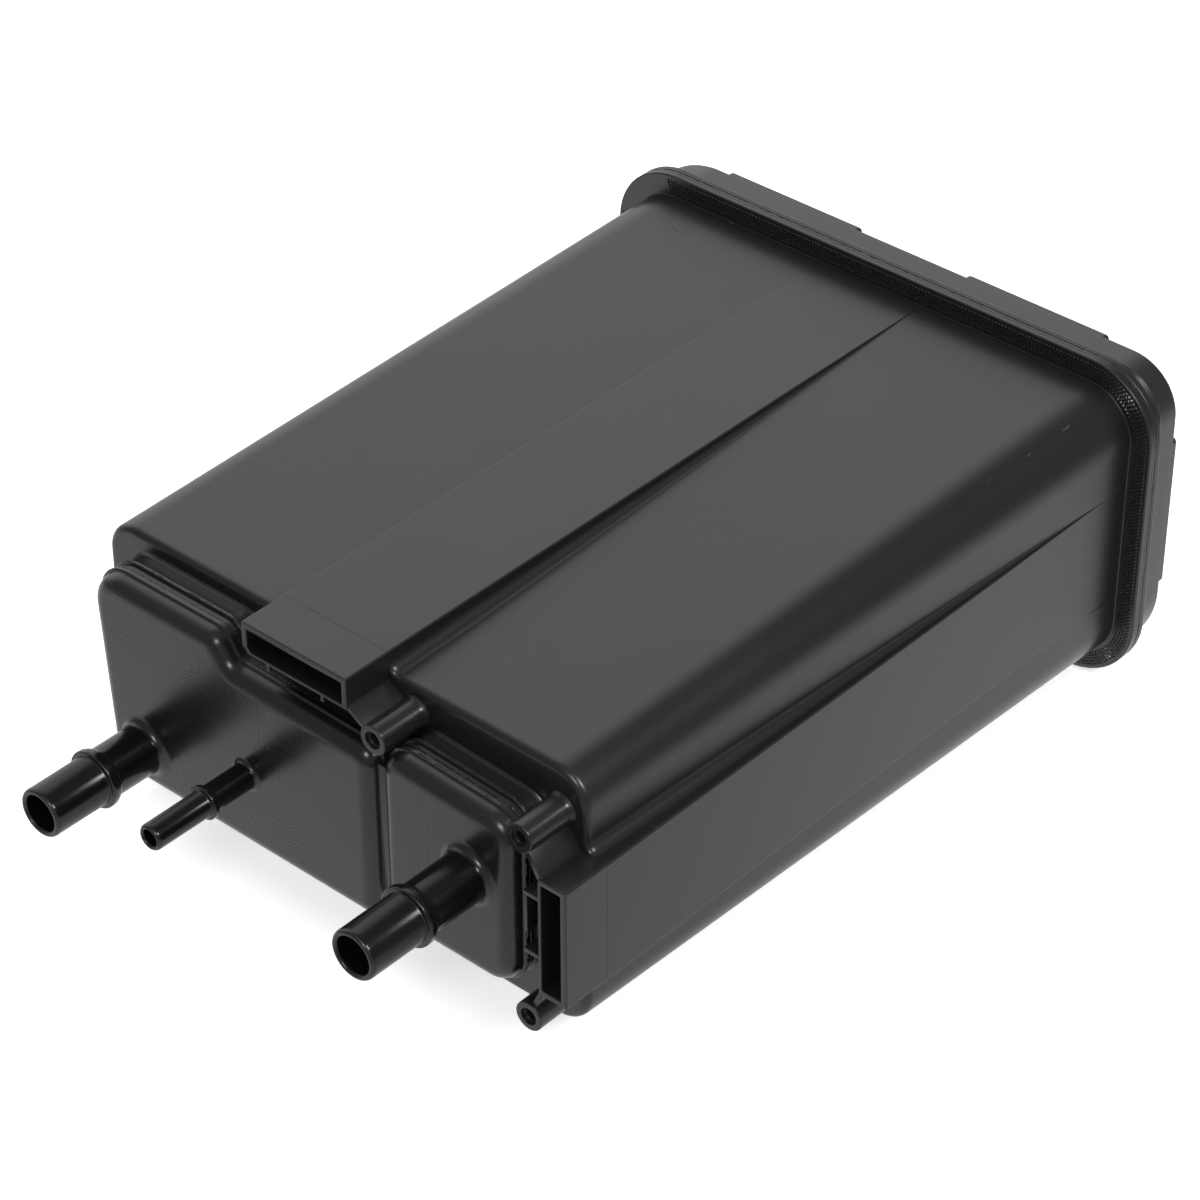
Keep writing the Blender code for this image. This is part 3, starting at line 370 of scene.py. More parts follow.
# Housing
def housing_rows():
    """Rows of the hollow body shell: front wall, front edge, drafted walls, flange and inside."""
    rows = [level(FRONT_Y, body_outline(FRONT_Y, -FRONT_EDGE - 1.0, drop=SINK_DROP))]
    for k in range(9):
        a = math.pi / 2 * k / 8
        y = FRONT_Y + FRONT_EDGE * (1 - math.cos(a))
        drop = SINK_DROP if k == 0 else 0.0
        rows.append(level(y, body_outline(y, -FRONT_EDGE * (1 - math.sin(a)), drop=drop)))
    for y in [DRAFT_START] + list(np.linspace(DRAFT_NEXT, FLANGE_Y - 1.4, DRAFT_ROWS)):
        rows.append(level(y, body_outline(y)))
    for k in range(8):
        a = math.pi / 2 * k / 7
        y = FLANGE_Y - FLANGE_FILLET * (1 - math.sin(a))
        rows.append(level(y, body_outline(y, FLANGE_FILLET * (1 - math.cos(a)))))
    inner = FLANGE_OUT - FLANGE_EDGE
    rim = [(FLANGE_Y, FLANGE_FILLET + 0.2), (FLANGE_Y, inner - 0.2)]
    rim += bend(inner, FLANGE_OUT, FLANGE_Y, FLANGE_Y + FLANGE_EDGE, 5)
    rim += [(FLANGE_Y + 0.8, FLANGE_OUT)]
    rim += [(FLANGE_END - 1.1 + y, FLANGE_OUT - depth) for y, depth in GROOVE]
    rim += bend(FLANGE_OUT, inner, FLANGE_END - FLANGE_EDGE, FLANGE_END, 5, False)
    rim += [(FLANGE_END, inner - 0.3)]
    for y, offset in rim:
        rows.append(level(y, body_outline(FLANGE_Y, offset)))
    for y, offset in ((FLANGE_END, -WALL + 0.3), (FLANGE_END, -WALL), (FLANGE_END - 0.3, -WALL),
                      (FRONT_INNER + 0.3, -WALL), (FRONT_INNER, -WALL), (FRONT_INNER, -WALL - 0.5)):
        rows.append(level(y, body_outline(y, offset, rails=False)))
    return rows


def socket_rows(outer, inner):
    """Rows of a hollow socket tube from the front wall to its mouth and back inside."""
    outside = [(FRONT_Y, 0.0), (SOCKET_MOUTH, 0.0)] + bend(0.0, -0.3, 0.3, 0.0, 4, False)
    inside = bend(0.2, 0.0, 0.0, 0.25, 3)
    inside += [(y, 0.0) for y in (SOCKET_MOUTH, SOCKET_DEPTH - 0.4, SOCKET_DEPTH)]
    rows = [level(y, outline(*outer, 6, offset)) for y, offset in outside]
    return rows + [level(y, outline(*inner, 6, offset)) for y, offset in inside]


def rectangle(left, right, bottom, top):
    """Corners of a rectangle, anticlockwise."""
    return [(left, bottom), (right, bottom), (right, top), (left, top)]


def add_sockets(bm):
    """Adds the two bracket sockets at the front ends of the rails."""
    top, left, right = RAIL_TOP - SINK_DROP, RAIL_LEFT + SOCKET_SIDE, RAIL_RIGHT - SOCKET_SIDE
    floor, roof = RAIL_BOTTOM + SOCKET_FLOOR, RAIL_TOP - SOCKET_ROOF
    outer = ([(RAIL_LEFT + SOCKET_CHAMFER, RAIL_BOTTOM), (RAIL_RIGHT, RAIL_BOTTOM), (RAIL_RIGHT, top),
              (RAIL_LEFT, top), (RAIL_LEFT, RAIL_BOTTOM + SOCKET_CHAMFER)],
             [0.8, 0.6, RAIL_ROUND, RAIL_ROUND, 0.8])
    inner = ([(left + SOCKET_INNER_CHAMFER, floor), (right, floor), (right, roof), (left, roof),
              (left, floor + SOCKET_INNER_CHAMFER)], [SOCKET_INNER_ROUND] * 5)
    add_shell(bm, socket_rows(outer, inner))
    outer = (rectangle(SIDE_IN, SIDE_OUT - SINK_DROP, SIDE_LOW, SIDE_HIGH),
             [0.5, RAIL_ROUND, RAIL_ROUND, 0.5])
    inner = (rectangle(SIDE_IN + SOCKET_FLOOR, SIDE_OUT - SOCKET_ROOF, SIDE_LOW + SOCKET_SIDE,
                       SIDE_HIGH - SOCKET_SIDE), [SOCKET_INNER_ROUND] * 4)
    add_shell(bm, socket_rows(outer, inner))


def add_boss(bm, x, z):
    """Adds one screw boss with a stepped blind hole."""
    out, hole, face, wide = BOSS_RADIUS, BOSS_HOLE, BOSS_FRONT, BOSS_HOLE + 0.7
    profile = [(FRONT_Y + 0.6, out + 0.9), (FRONT_Y - 0.2, out + 0.6), (FRONT_Y - 0.9, out + 0.15),
               (FRONT_Y - 1.8, out), (face + 0.8, out)]
    profile += bend(out, out - 0.35, face + 0.35, face, 4, False)
    profile += [(face, out - 0.5), (face, wide + 0.2)]
    profile += bend(wide + 0.15, wide, face, face + 0.15, 3)
    profile += [(face + 1.2, wide), (face + 1.3, wide - 0.1), (face + 1.3, hole + 0.1), (face + 1.4, hole)]
    profile += [(face + 1.8, hole), (BOSS_DEPTH - 0.3, hole), (BOSS_DEPTH, hole - 0.3)]
    add_turned(bm, x, z, profile, steps=56, walls=1)


def add_web(bm, start, end):
    """Adds a web between two points in x and z."""
    a, b = np.array(start, float), np.array(end, float)
    along = (b - a) / np.linalg.norm(b - a)
    across = np.array((-along[1], along[0])) * WEB_THICK / 2
    shape = [tuple(a - across), tuple(b - across), tuple(b + across), tuple(a + across)]
    add_prism(bm, shape, WEB_FRONT, FRONT_Y + ROOTED, WEB_EDGE)


def add_front_fittings(bm):
    """Adds the bosses, their webs, the small ribs and the tab beside the side socket."""
    for x, z in BOSSES:
        add_boss(bm, x, z)
    for start, end in WEBS:
        add_web(bm, start, end)
    for share in TOP_RIBS:
        x = RAIL_LEFT + (RAIL_RIGHT - RAIL_LEFT) * share
        add_block(bm, (x - TOP_RIB_HALF, TOP_RIB_FRONT, RAIL_BOTTOM - TOP_RIB_REACH),
                  (x + TOP_RIB_HALF, FRONT_Y + ROOTED, RAIL_BOTTOM + 0.6), 0.15)
    for share in SIDE_RIBS:
        z = SIDE_LOW + (SIDE_HIGH - SIDE_LOW) * share
        add_block(bm, (SIDE_IN - SIDE_RIB_REACH, SIDE_RIB_FRONT, z - SIDE_RIB_HALF),
                  (SIDE_IN + 0.6, FRONT_Y + ROOTED, z + SIDE_RIB_HALF), 0.2)
    add_block(bm, (SIDE_IN - TAB_NEAR, TAB_FRONT, z - TAB_DROP),
              (SIDE_IN - TAB_FAR, FRONT_Y + 0.7, z + TAB_RISE), 0.2)


def shape_points(shape, offset, steps=12):
    """Outline of one half of the port cover, moved outward by the offset."""
    return outline(shape[0], shape[1], steps, offset)


def add_collar(bm, shape):
    """Adds the hollow weld collar of one half, with its lip just behind the seam."""
    start = SEAM_Y + GAP / 2
    sizes = [(start, -0.15), (start + 0.15, 0.0), (start + 1.4, 0.0), (start + 1.55, 0.75)]
    sizes += [(start + 1.8, 1.0), (start + 2.6, 1.0), (start + 2.9, 0.75), (start + 3.3, 0.1)]
    sizes += [(start + 3.6, 0.0), (15.4, 0.0), (16.1, 0.25), (16.8, 0.9), (17.4, 0.9)]
    sizes += [(17.4, -WALL), (17.0, -WALL), (start + 0.3, -WALL), (start, -WALL + 0.2)]
    add_shell(bm, [level(y, shape_points(shape, offset)) for y, offset in sizes], loop=True)


def walk(points, count, first=0.0, side="left"):
    """Even steps along a closed outline, as pairs of a point and the direction there."""
    ring = np.array(points + points[:1])
    lengths = np.linalg.norm(np.diff(ring, axis=0), axis=1)
    total = np.concatenate(([0.0], np.cumsum(lengths)))
    for k in range(count):
        at = (k + first) * total[-1] / count
        i = min(max(int(np.searchsorted(total, at, side) - 1), 0), len(lengths) - 1)
        along = (ring[i + 1] - ring[i]) / max(lengths[i], 1e-9)
        yield ring[i] + along * (at - total[i]), along


def around(points):
    """Length of a closed outline."""
    ring = np.array(points + points[:1])
    return np.cumsum(np.linalg.norm(np.diff(ring, axis=0), axis=1))[-1]


def build_knurl():
    """The small raised points on the front face of the flange, in rows that follow its outline."""
    rng = random.Random(KNURL_SEED)
    made = []
    left, right, bottom, top, corner = body_size(FLANGE_Y)
    free = corner * KNURL_FREE_CORNER
    for row in range(KNURL_ROWS):
        bm = bmesh.new()
        offset = KNURL_START + KNURL_ROW_PITCH * row
        points = outline(rectangle(left, right, bottom, top), [corner] * 4, 40, offset)
        for point, along in walk(points, int(around(points) / KNURL_PITCH), 0.25):
            if point[0] < left + free and point[1] > top - free:
                continue
            out = np.array((along[1], -along[0]))
            point = point + along * rng.uniform(-0.06, 0.06) + out * rng.uniform(-0.05, 0.05)
            tall = KNURL_TALL + rng.uniform(-0.06, 0.08)
            wide = KNURL_WIDE + rng.uniform(-0.04, 0.04)
            where = Matrix(((out[0], along[0], 0.0), (0.0, 0.0, -1.0), (out[1], along[1], 0.0))).to_4x4()
            where.translation = place(point[0], FLANGE_Y + KNURL_SINK - tall / 2, point[1])
            bmesh.ops.create_cone(bm, cap_ends=True, segments=4, radius1=wide * MM,
                                  radius2=wide * KNURL_TIP * MM, depth=tall * MM,
                                  matrix=where @ Matrix.Rotation(math.pi / 4, 4, "Z"))
        made.append(finish("knurl_row", bm))
    return made


def build_housing():
    """The whole housing moulding."""
    bm = bmesh.new()
    add_shell(bm, housing_rows())
    body = finish("housing_visual", bm)
    bm = bmesh.new()
    for shape in (TANK_SHAPE, VENT_SHAPE):
        recess = shape_points(shape, -WALL - 0.05)
        add_shell(bm, [level(y, recess) for y in (FRONT_Y - 1.0, FRONT_Y + 0.4)])
    carve(body, bm)
    bm = bmesh.new()
    wide, high = GRILLE_WIDE / 2, GRILLE_HIGH / 2
    for left, right, bottom, top in GRILLE_FIELDS:
        for x in spread(left + GRILLE_MARGIN, right - GRILLE_MARGIN, GRILLE_WIDE, GRILLE_PITCH_X):
            for z in spread(bottom + GRILLE_MARGIN, top - GRILLE_MARGIN, GRILLE_HIGH, GRILLE_PITCH_Z):
                far_corner = (x + wide, FRONT_INNER + 0.5, z + high)
                add_block(bm, (x - wide, FRONT_Y - 0.1, z - high), far_corner, 0.0)
    carve(body, bm)
    bm = bmesh.new()
    add_sockets(bm)
    add_front_fittings(bm)
    for shape in (TANK_SHAPE, VENT_SHAPE):
        add_collar(bm, shape)
    add_block(bm, (BRIDGE_LEFT, SEAM_Y + BRIDGE_GAP, BRIDGE_LOW),
              (BRIDGE_RIGHT, FRONT_Y + 0.5, BRIDGE_HIGH), 0.3)
    partition = []
    for y in (FRONT_INNER - 0.5, PARTITION_END):
        low, high = body_size(y)[2] + PARTITION_INSET, body_size(y)[3] - PARTITION_INSET
        partition.append(level(y, rectangle(PARTITION_LEFT, PARTITION_RIGHT, low, high)))
    add_shell(bm, partition)
    details = finish("housing_details", bm)
    join(body, [details] + build_knurl())
    return body


def spread(low, high, size, pitch):
    """Centres of as many equal openings as fit between two limits."""
    count = int((high - low - size) // pitch) + 1
    start = (low + high) / 2 - (count - 1) * pitch / 2
    return [start + i * pitch for i in range(count)]


# Port cover
def add_cover_half(bm, shape):
    """Adds one hollow half of the port cover, from inside its front wall round the seam to its front face."""
    end = SEAM_Y - GAP / 2
    sizes = [(WALL, -WALL - 1.6), (WALL + 0.5, -WALL - 0.5), (WALL + 1.6, -WALL), (end - 0.2, -WALL)]
    sizes += [(end, -WALL + 0.2), (end, -0.15), (end - 0.15, 0.0), (end - 1.4, 0.0), (end - 1.55, 0.75)]
    sizes += [(end - 1.8, 1.0), (end - 2.5, 1.0), (end - 2.7, 0.75), (end - 2.85, 0.1)]
    for k in range(15):
        a = math.pi / 2 * k / 14
        sizes.append((COVER_EDGE * COVER_EDGE_DEPTH * (1 - math.sin(a)), -COVER_EDGE * (1 - math.cos(a))))
    sizes.append((0.0, -COVER_EDGE - 0.6))
    add_shell(bm, [level(y, shape_points(shape, offset)) for y, offset in sizes])


def port_profile(tip, size):
    """Profile of one port as (y, radius): base blend, bead, shank, tip and bore."""
    radius, bore, bead, wide = size
    near = tip + BEAD_FROM_TIP
    base = radius * PORT_BLEND
    rise = bead - radius
    profile = [(0.03, radius + base + 0.3)]
    for k in range(9):
        a = math.pi / 2 * k / 8
        profile.append((-base * (1 - math.cos(a)), radius + base * (1 - math.sin(a))))
    profile += [(-base - 0.6, radius), (near + wide + 0.5, radius), (near + wide, radius + 0.02)]
    for k in range(1, 6):
        a = math.pi / 2 * k / 5
        profile.append((near + wide - wide * 0.3 * math.sin(a), radius + rise * 0.35 * (1 - math.cos(a))))
    for along, up in ((0.62, 0.62), (0.58, 0.7), (0.45, 0.75)):
        profile.append((near + wide * along, radius + rise * up))
    profile += [(near + wide * 0.42, bead - 0.12), (near + wide * 0.38, bead), (near + 0.6, bead)]
    profile += bend(bead, bead - 0.45, near + 0.45, near, 5, False)
    profile += [(near, radius + 0.3), (near - 0.12, radius + 0.08), (near - 0.35, radius)]
    profile += [(tip + 2.2, radius)]
    profile += bend(radius, radius - 0.95, tip + 1.3, tip, 7, False)
    profile += bend(bore + 0.75, bore, tip, tip + 1.4, 6)
    profile += [(tip + 2.4, bore), (2.0, bore), (2.45, bore + 0.2), (2.45, bore + 0.9)]
    return profile


def build_port_cover():
    """The whole port cover moulding."""
    halves = []
    ports = (TANK_PORT + (LARGE,), PURGE_PORT + (SMALL,), VENT_PORT + (LARGE,))
    for name, shape in (("tank_half", TANK_SHAPE), ("vent_half", VENT_SHAPE)):
        bm = bmesh.new()
        add_cover_half(bm, shape)
        half = finish(name, bm)
        bm = bmesh.new()
        for x, z, _, size in ports:
            if (x > VALLEY_X) == (name == "vent_half"):
                add_rod(bm, x, z, size[1] + 0.5, -1.0, WALL + 1.0)
        carve(half, bm)
        halves.append(half)
    bm = bmesh.new()
    for x, z, tip, size in ports:
        add_turned(bm, x, z, port_profile(tip, size), loop=True, walls=1)
    add_block(bm, (BRIDGE_LEFT, BRIDGE_FRONT, BRIDGE_LOW),
              (BRIDGE_RIGHT, SEAM_Y - BRIDGE_GAP, BRIDGE_HIGH), 0.5)
    details = finish("cover_details", bm)
    cover = halves[0]
    join(cover, [halves[1], details])
    cover.name = "port_cover_visual"
    return cover


# Rear cover
def cap_section(offset):
    """Outline of the rear cover behind its weld rim."""
    return outline(rectangle(*body_size(FLANGE_Y)[:4]), CAP_CORNERS, 28, offset)


def add_pad(bm, left, right, bottom, top):
    """Adds one pad that stands past the back of the rear cover, with its rear edges rounded."""
    end = CAP_END + PAD_REACH
    steps = [(CAP_END - CAP_EDGE - 0.8, 0.0)] + bend(0.0, -PAD_EDGE, end - PAD_EDGE, end, 6, False)
    rows = []
    for y, reach in steps:
        shape = rectangle(left - reach, right + reach, bottom - reach, top + reach)
        rows.append(level(y, outline(shape, [max(PAD_ROUND + reach, 0.4)] * 4, 6)))
    add_shell(bm, rows)


def build_rear_cover():
    """The whole rear cover moulding."""
    left, right, bottom, top, corner = body_size(FLANGE_Y)
    out, reach = FLANGE_OUT, FLANGE_OUT - CAP_STEP
    rim, shoulder = CAP_START + CAP_RIM, CAP_START + CAP_RIM + CAP_SHOULDER
    sizes = [(CAP_INNER, -WALL - 1.6), (CAP_INNER, -WALL - 1.0), (CAP_INNER - 0.5, -WALL - 0.5)]
    sizes += [(CAP_START + 0.3, -WALL), (CAP_START, -WALL + 0.3), (CAP_START, out - 0.7)]
    sizes += bend(out - 0.4, out, CAP_START, CAP_START + 0.4, 4)
    sizes += [(CAP_START + 0.6, out)] + [(CAP_START + 1.0 + y, out - depth) for y, depth in GROOVE]
    sizes += [(rim - 0.5, out), (rim - 0.25, out - 0.04), (rim, out - 0.2)]
    flange_shape = (rectangle(left, right, bottom, top), [corner] * 4)
    rows = [level(y, shape_points(flange_shape, offset, 28)) for y, offset in sizes]
    behind = [(shoulder - 0.15, reach + 0.12), (shoulder + 0.1, reach + 0.02), (shoulder + 0.4, reach)]
    for k in range(11):
        a = math.pi / 2 * k / 10
        behind.append((CAP_END - CAP_EDGE * (1 - math.sin(a)), reach - CAP_EDGE * (1 - math.cos(a))))
    behind.append((CAP_END, reach - CAP_EDGE - 0.6))
    rows += [level(y, cap_section(offset)) for y, offset in behind]
    bm = bmesh.new()
    add_shell(bm, rows)
    outer = reach - PAD_TUCK
    inner = outer - PAD_HEIGHT
    for x0, x1 in TOP_PADS:
        add_pad(bm, x0, x1, top + inner, top + outer)
        add_pad(bm, x0, x1, bottom - outer, bottom - inner)
    add_pad(bm, right + inner, right + outer, *SIDE_PAD)
    add_pad(bm, left - outer, left - inner, *SIDE_PAD)
    half = RIB_WIDE / 2
    low_x, high_x = left + RIB_INSET_X, right - RIB_INSET_X
    low_z, high_z = bottom + RIB_INSET_Z, top - RIB_INSET_Z
    for x in spread(low_x, high_x, RIB_WIDE, RIB_PITCH_X):
        add_block(bm, (x - half, CAP_END - 1.0, low_z), (x + half, CAP_END + 1.6, high_z), RIB_EDGE, 3)
    for z in spread(low_z, high_z, RIB_WIDE, RIB_PITCH_Z):
        add_block(bm, (low_x, CAP_END - 0.8, z - half), (high_x, CAP_END + 1.3, z + half), RIB_EDGE, 3)
    start = CAP_INNER - SEAT_HEIGHT
    seat = [(start, SEAT_RADIUS - 0.6), (start, SEAT_RADIUS - 0.4), (start + 0.15, SEAT_RADIUS - 0.1),
            (start + 0.4, SEAT_RADIUS), (CAP_INNER + 1.0, SEAT_RADIUS)]
    for x, z in spring_places():
        add_turned(bm, x, z, seat, steps=48)
    return finish("rear_cover_visual", bm)


def spring_places():
    """Centres of the springs in x and z, read from the nodes."""
    places = []
    for name in sorted(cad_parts):
        if "_spring_" in name and not name.endswith("plate"):
            low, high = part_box(name)
            centre = (low + high) / 2
            places.append((centre.x / MM - SHIFT[0], centre.z / MM - SHIFT[2]))
    return places


# Weld flash
def add_flash(bm, points, y, width, height, seed, sway):
    """Adds an uneven thin bead along a closed outline at one Y."""
    rng = np.random.default_rng(seed)
    count = int(around(points) * FLASH_SPOTS_PER_MM)
    kernel = np.hanning(5)
    swell = even_out(rng.normal(size=count), kernel / kernel.sum())
    wander = even_out(rng.normal(size=count), np.hanning(25) / 12)
    rows = []
    for (point, along), more, drift in zip(walk(points, count, side="right"), swell, wander):
        out = np.array((along[1], -along[0]))
        size = height * min(max(1 + FLASH_SWING * more, FLASH_LEAST), FLASH_MOST)
        row = []
        for side in range(FLASH_SIDES):
            a = 2 * math.pi * side / FLASH_SIDES
            p = point + out * (size * math.cos(a))
            row.append((p[0], y + sway * drift + width * math.sin(a) * (1 + FLASH_ROLL * more), p[1]))
        rows.append(row)
    add_shell(bm, list(zip(*rows)), loop=True)


def even_out(values, kernel):
    """Values on a closed outline, smoothed with a kernel."""
    count = len(values)
    return np.convolve(np.concatenate((values, values, values)), kernel, "same")[count:2 * count]


def build_flash():
    """Weld flash along the port cover seam and along the rear cover seam."""
    bm = bmesh.new()
    for shape, tall, seeds in ((TANK_SHAPE, TANK_FLASH, TANK_SEEDS), (VENT_SHAPE, VENT_FLASH, VENT_SEEDS)):
        lip, seam = shape_points(shape, FLASH_OUT), shape_points(shape, 0.0)
        add_flash(bm, lip, SEAM_Y + FLASH_BEHIND, FLASH_WIDE, tall, seeds[0], FLASH_SWAY)
        add_flash(bm, lip, SEAM_Y - FLASH_BEFORE, FLASH_WIDE, tall * BEFORE_SHARE, seeds[1], FLASH_SWAY)
        add_flash(bm, seam, SEAM_Y, SEAM_WIDE, tall * SEAM_SHARE, seeds[2], SEAM_SWAY)
    front = finish("front_weld_flash", bm, FLASH_ANGLE)
    left, right, bottom, top, corner = body_size(FLANGE_Y)
    rim = outline(rectangle(left, right, bottom, top), [corner] * 4, 28, FLANGE_OUT - REAR_FLASH_INSET)
    bm = bmesh.new()
    add_flash(bm, rim, FLANGE_END + REAR_FLASH_BEHIND, REAR_FLASH_WIDE, REAR_FLASH, REAR_SEED, SEAM_SWAY)
    rear = finish("rear_weld_flash", bm, FLASH_ANGLE)
    return front, rear


# Single marks on the plastic, as start, end, width and strength
HOUSING_MARKS = (((-102.3, 240.1, 70.3), (-97.5, 238.4, 70.27), 0.25, 0.5),
                 ((-81.9, 232.4, 70.1), (-78.0, 229.5, 70.0), 0.22, 0.5),
                 ((-89.2, 253.4, 70.75), (-88.3, 253.3, 70.75), 0.35, 1.0),
                 ((58.8, 230.3, 67.9), (58.9, 233.2, 67.95), 0.3, 0.9),
                 ((58.5, 212.8, 67.4), (58.5, 214.8, 67.45), 0.25, 0.7),
                 ((57.7, 195.3, 67.15), (57.3, 197.0, 67.4), 0.25, 0.5),
                 ((67.2, 238.7, -3.2), (67.55, 251.4, -3.85), 0.2, 0.5))
COVER_MARKS = (((-100.6, 0.0, 50.3), (-94.0, 0.0, 41.8), 1.2, 0.2),
               ((-48.9, 0.0, 46.5), (-48.4, 0.0, 30.4), 0.25, 0.35),
               ((-56.6, 0.0, 43.6), (-53.2, 0.0, 41.5), 0.3, 0.5),
               ((-45.2, 0.0, 30.3), (-44.8, 0.0, 30.15), 0.4, 1.0),
               ((17.9, 0.0, 45.0), (17.5, 0.0, 20.0), 0.25, 0.35))
CAP_MARKS = (((74.95, 258.4, 47.5), (75.0, 258.6, 41.7), 0.45, 0.9),
             ((73.6, 263.7, 28.2), (73.6, 263.9, 26.6), 0.5, 0.9),
             ((73.6, 264.2, 19.3), (73.6, 264.4, 17.6), 0.5, 0.8),
             ((73.6, 265.3, 12.0), (73.6, 265.6, 9.8), 0.4, 0.6))

# Sockets of the surface groups
SURFACE_OUTPUTS = (("Colour", "NodeSocketColor"), ("Roughness", "NodeSocketFloat"),
                   ("Height", "NodeSocketFloat"))
PLASTIC_INPUTS = (("Vector", "NodeSocketVector", None),
                  ("Colour", "NodeSocketColor", (0.012, 0.012, 0.012, 1.0)),
                  ("Scuff Colour", "NodeSocketColor", (0.05, 0.05, 0.05, 1.0)),
                  ("Roughness", "NodeSocketFloat", 0.4),
                  ("Grain", "NodeSocketFloat", 1.0),
                  ("Scuffs", "NodeSocketFloat", 1.0))
MATTER_INPUTS = (("Vector", "NodeSocketVector", None),
                 ("Dark", "NodeSocketColor", (0.01, 0.01, 0.01, 1.0)),
                 ("Light", "NodeSocketColor", (0.03, 0.03, 0.03, 1.0)),
                 ("Cell Scale", "NodeSocketFloat", 500.0),
                 ("Roughness", "NodeSocketFloat", 0.9))


def new_group(name, inputs, outputs):
    """Empty shader node group with named sockets."""
    group = bpy.data.node_groups.new(name, "ShaderNodeTree")
    for label, kind, default in inputs:
        socket = group.interface.new_socket(name=label, in_out="INPUT", socket_type=kind)
        if default is not None:
            socket.default_value = default
    for label, kind in outputs:
        group.interface.new_socket(name=label, in_out="OUTPUT", socket_type=kind)
    return group, group.nodes.new("NodeGroupInput"), group.nodes.new("NodeGroupOutput")


def node(tree, kind, values=None, **settings):
    """New node with its settings and input values."""
    made = tree.nodes.new(kind)
    for key, value in settings.items():
        setattr(made, key, value)
    for key, value in (values or {}).items():
        made.inputs[key].default_value = value
    return made


def math_node(tree, operation, a, b, clamp=False):
    """Math node whose inputs are sockets or numbers."""
    made = node(tree, "ShaderNodeMath", operation=operation, use_clamp=clamp)
    for index, value in enumerate((a, b)):
        if isinstance(value, (int, float)):
            made.inputs[index].default_value = value
        else:
            tree.links.new(value, made.inputs[index])
    return made.outputs[0]


def times(tree, a, b, clamp=False):
    """Product of two sockets or numbers."""
    return math_node(tree, "MULTIPLY", a, b, clamp)


def plus(tree, a, b, clamp=False):
    """Sum of two sockets or numbers."""
    return math_node(tree, "ADD", a, b, clamp)


def noise(tree, vector, scale, detail, rough, distortion=0.0):
    """Noise texture factor."""
    values = {"Scale": scale, "Detail": detail, "Roughness": rough, "Distortion": distortion}
    made = node(tree, "ShaderNodeTexNoise", values)
    tree.links.new(vector, made.inputs["Vector"])
    return made.outputs["Fac"]


def stretch(tree, vector, scale):
    """Vector scaled by three numbers."""
    made = node(tree, "ShaderNodeVectorMath", operation="MULTIPLY")
    made.inputs[1].default_value = scale
    tree.links.new(vector, made.inputs[0])
    return made.outputs[0]


def remap(tree, value, low, high, to_low=0.0, to_high=1.0):
    """Clamped map range."""
    limits = {"From Min": low, "From Max": high, "To Min": to_low, "To Max": to_high}
    made = node(tree, "ShaderNodeMapRange", limits)
    tree.links.new(value, made.inputs["Value"])
    return made.outputs["Result"]


def mix_colour(tree, factor, a, b):
    """Colour mix of two sockets or colours."""
    made = node(tree, "ShaderNodeMix", data_type="RGBA")
    tree.links.new(factor, made.inputs["Factor"])
    for key, value in (("A", a), ("B", b)):
        socket = [s for s in made.inputs if s.name == key and s.type == "RGBA"][0]
        if isinstance(value, tuple):
            socket.default_value = value
        else:
            tree.links.new(value, socket)
    return [s for s in made.outputs if s.type == "RGBA"][0]


def mark_mask(tree, vector, start, end, width, strength):
    """Mask of one straight mark between two points of the drawing frame."""
    a, b = Vector(place(*start)), Vector(place(*end))
    along = b - a
    away = node(tree, "ShaderNodeVectorMath", operation="SUBTRACT")
    away.inputs[1].default_value = a
    tree.links.new(vector, away.inputs[0])
    share = node(tree, "ShaderNodeVectorMath", operation="DOT_PRODUCT")
    share.inputs[1].default_value = along / along.length_squared
    tree.links.new(away.outputs[0], share.inputs[0])
    reach = node(tree, "ShaderNodeVectorMath", operation="SCALE")
    reach.inputs[0].default_value = along
    tree.links.new(plus(tree, share.outputs["Value"], 0.0, clamp=True), reach.inputs["Scale"])
    gap = node(tree, "ShaderNodeVectorMath", operation="DISTANCE")
    tree.links.new(away.outputs[0], gap.inputs[0])
    tree.links.new(reach.outputs[0], gap.inputs[1])
    return remap(tree, gap.outputs["Value"], width * 0.3 * MM, width * MM, strength, 0.0)


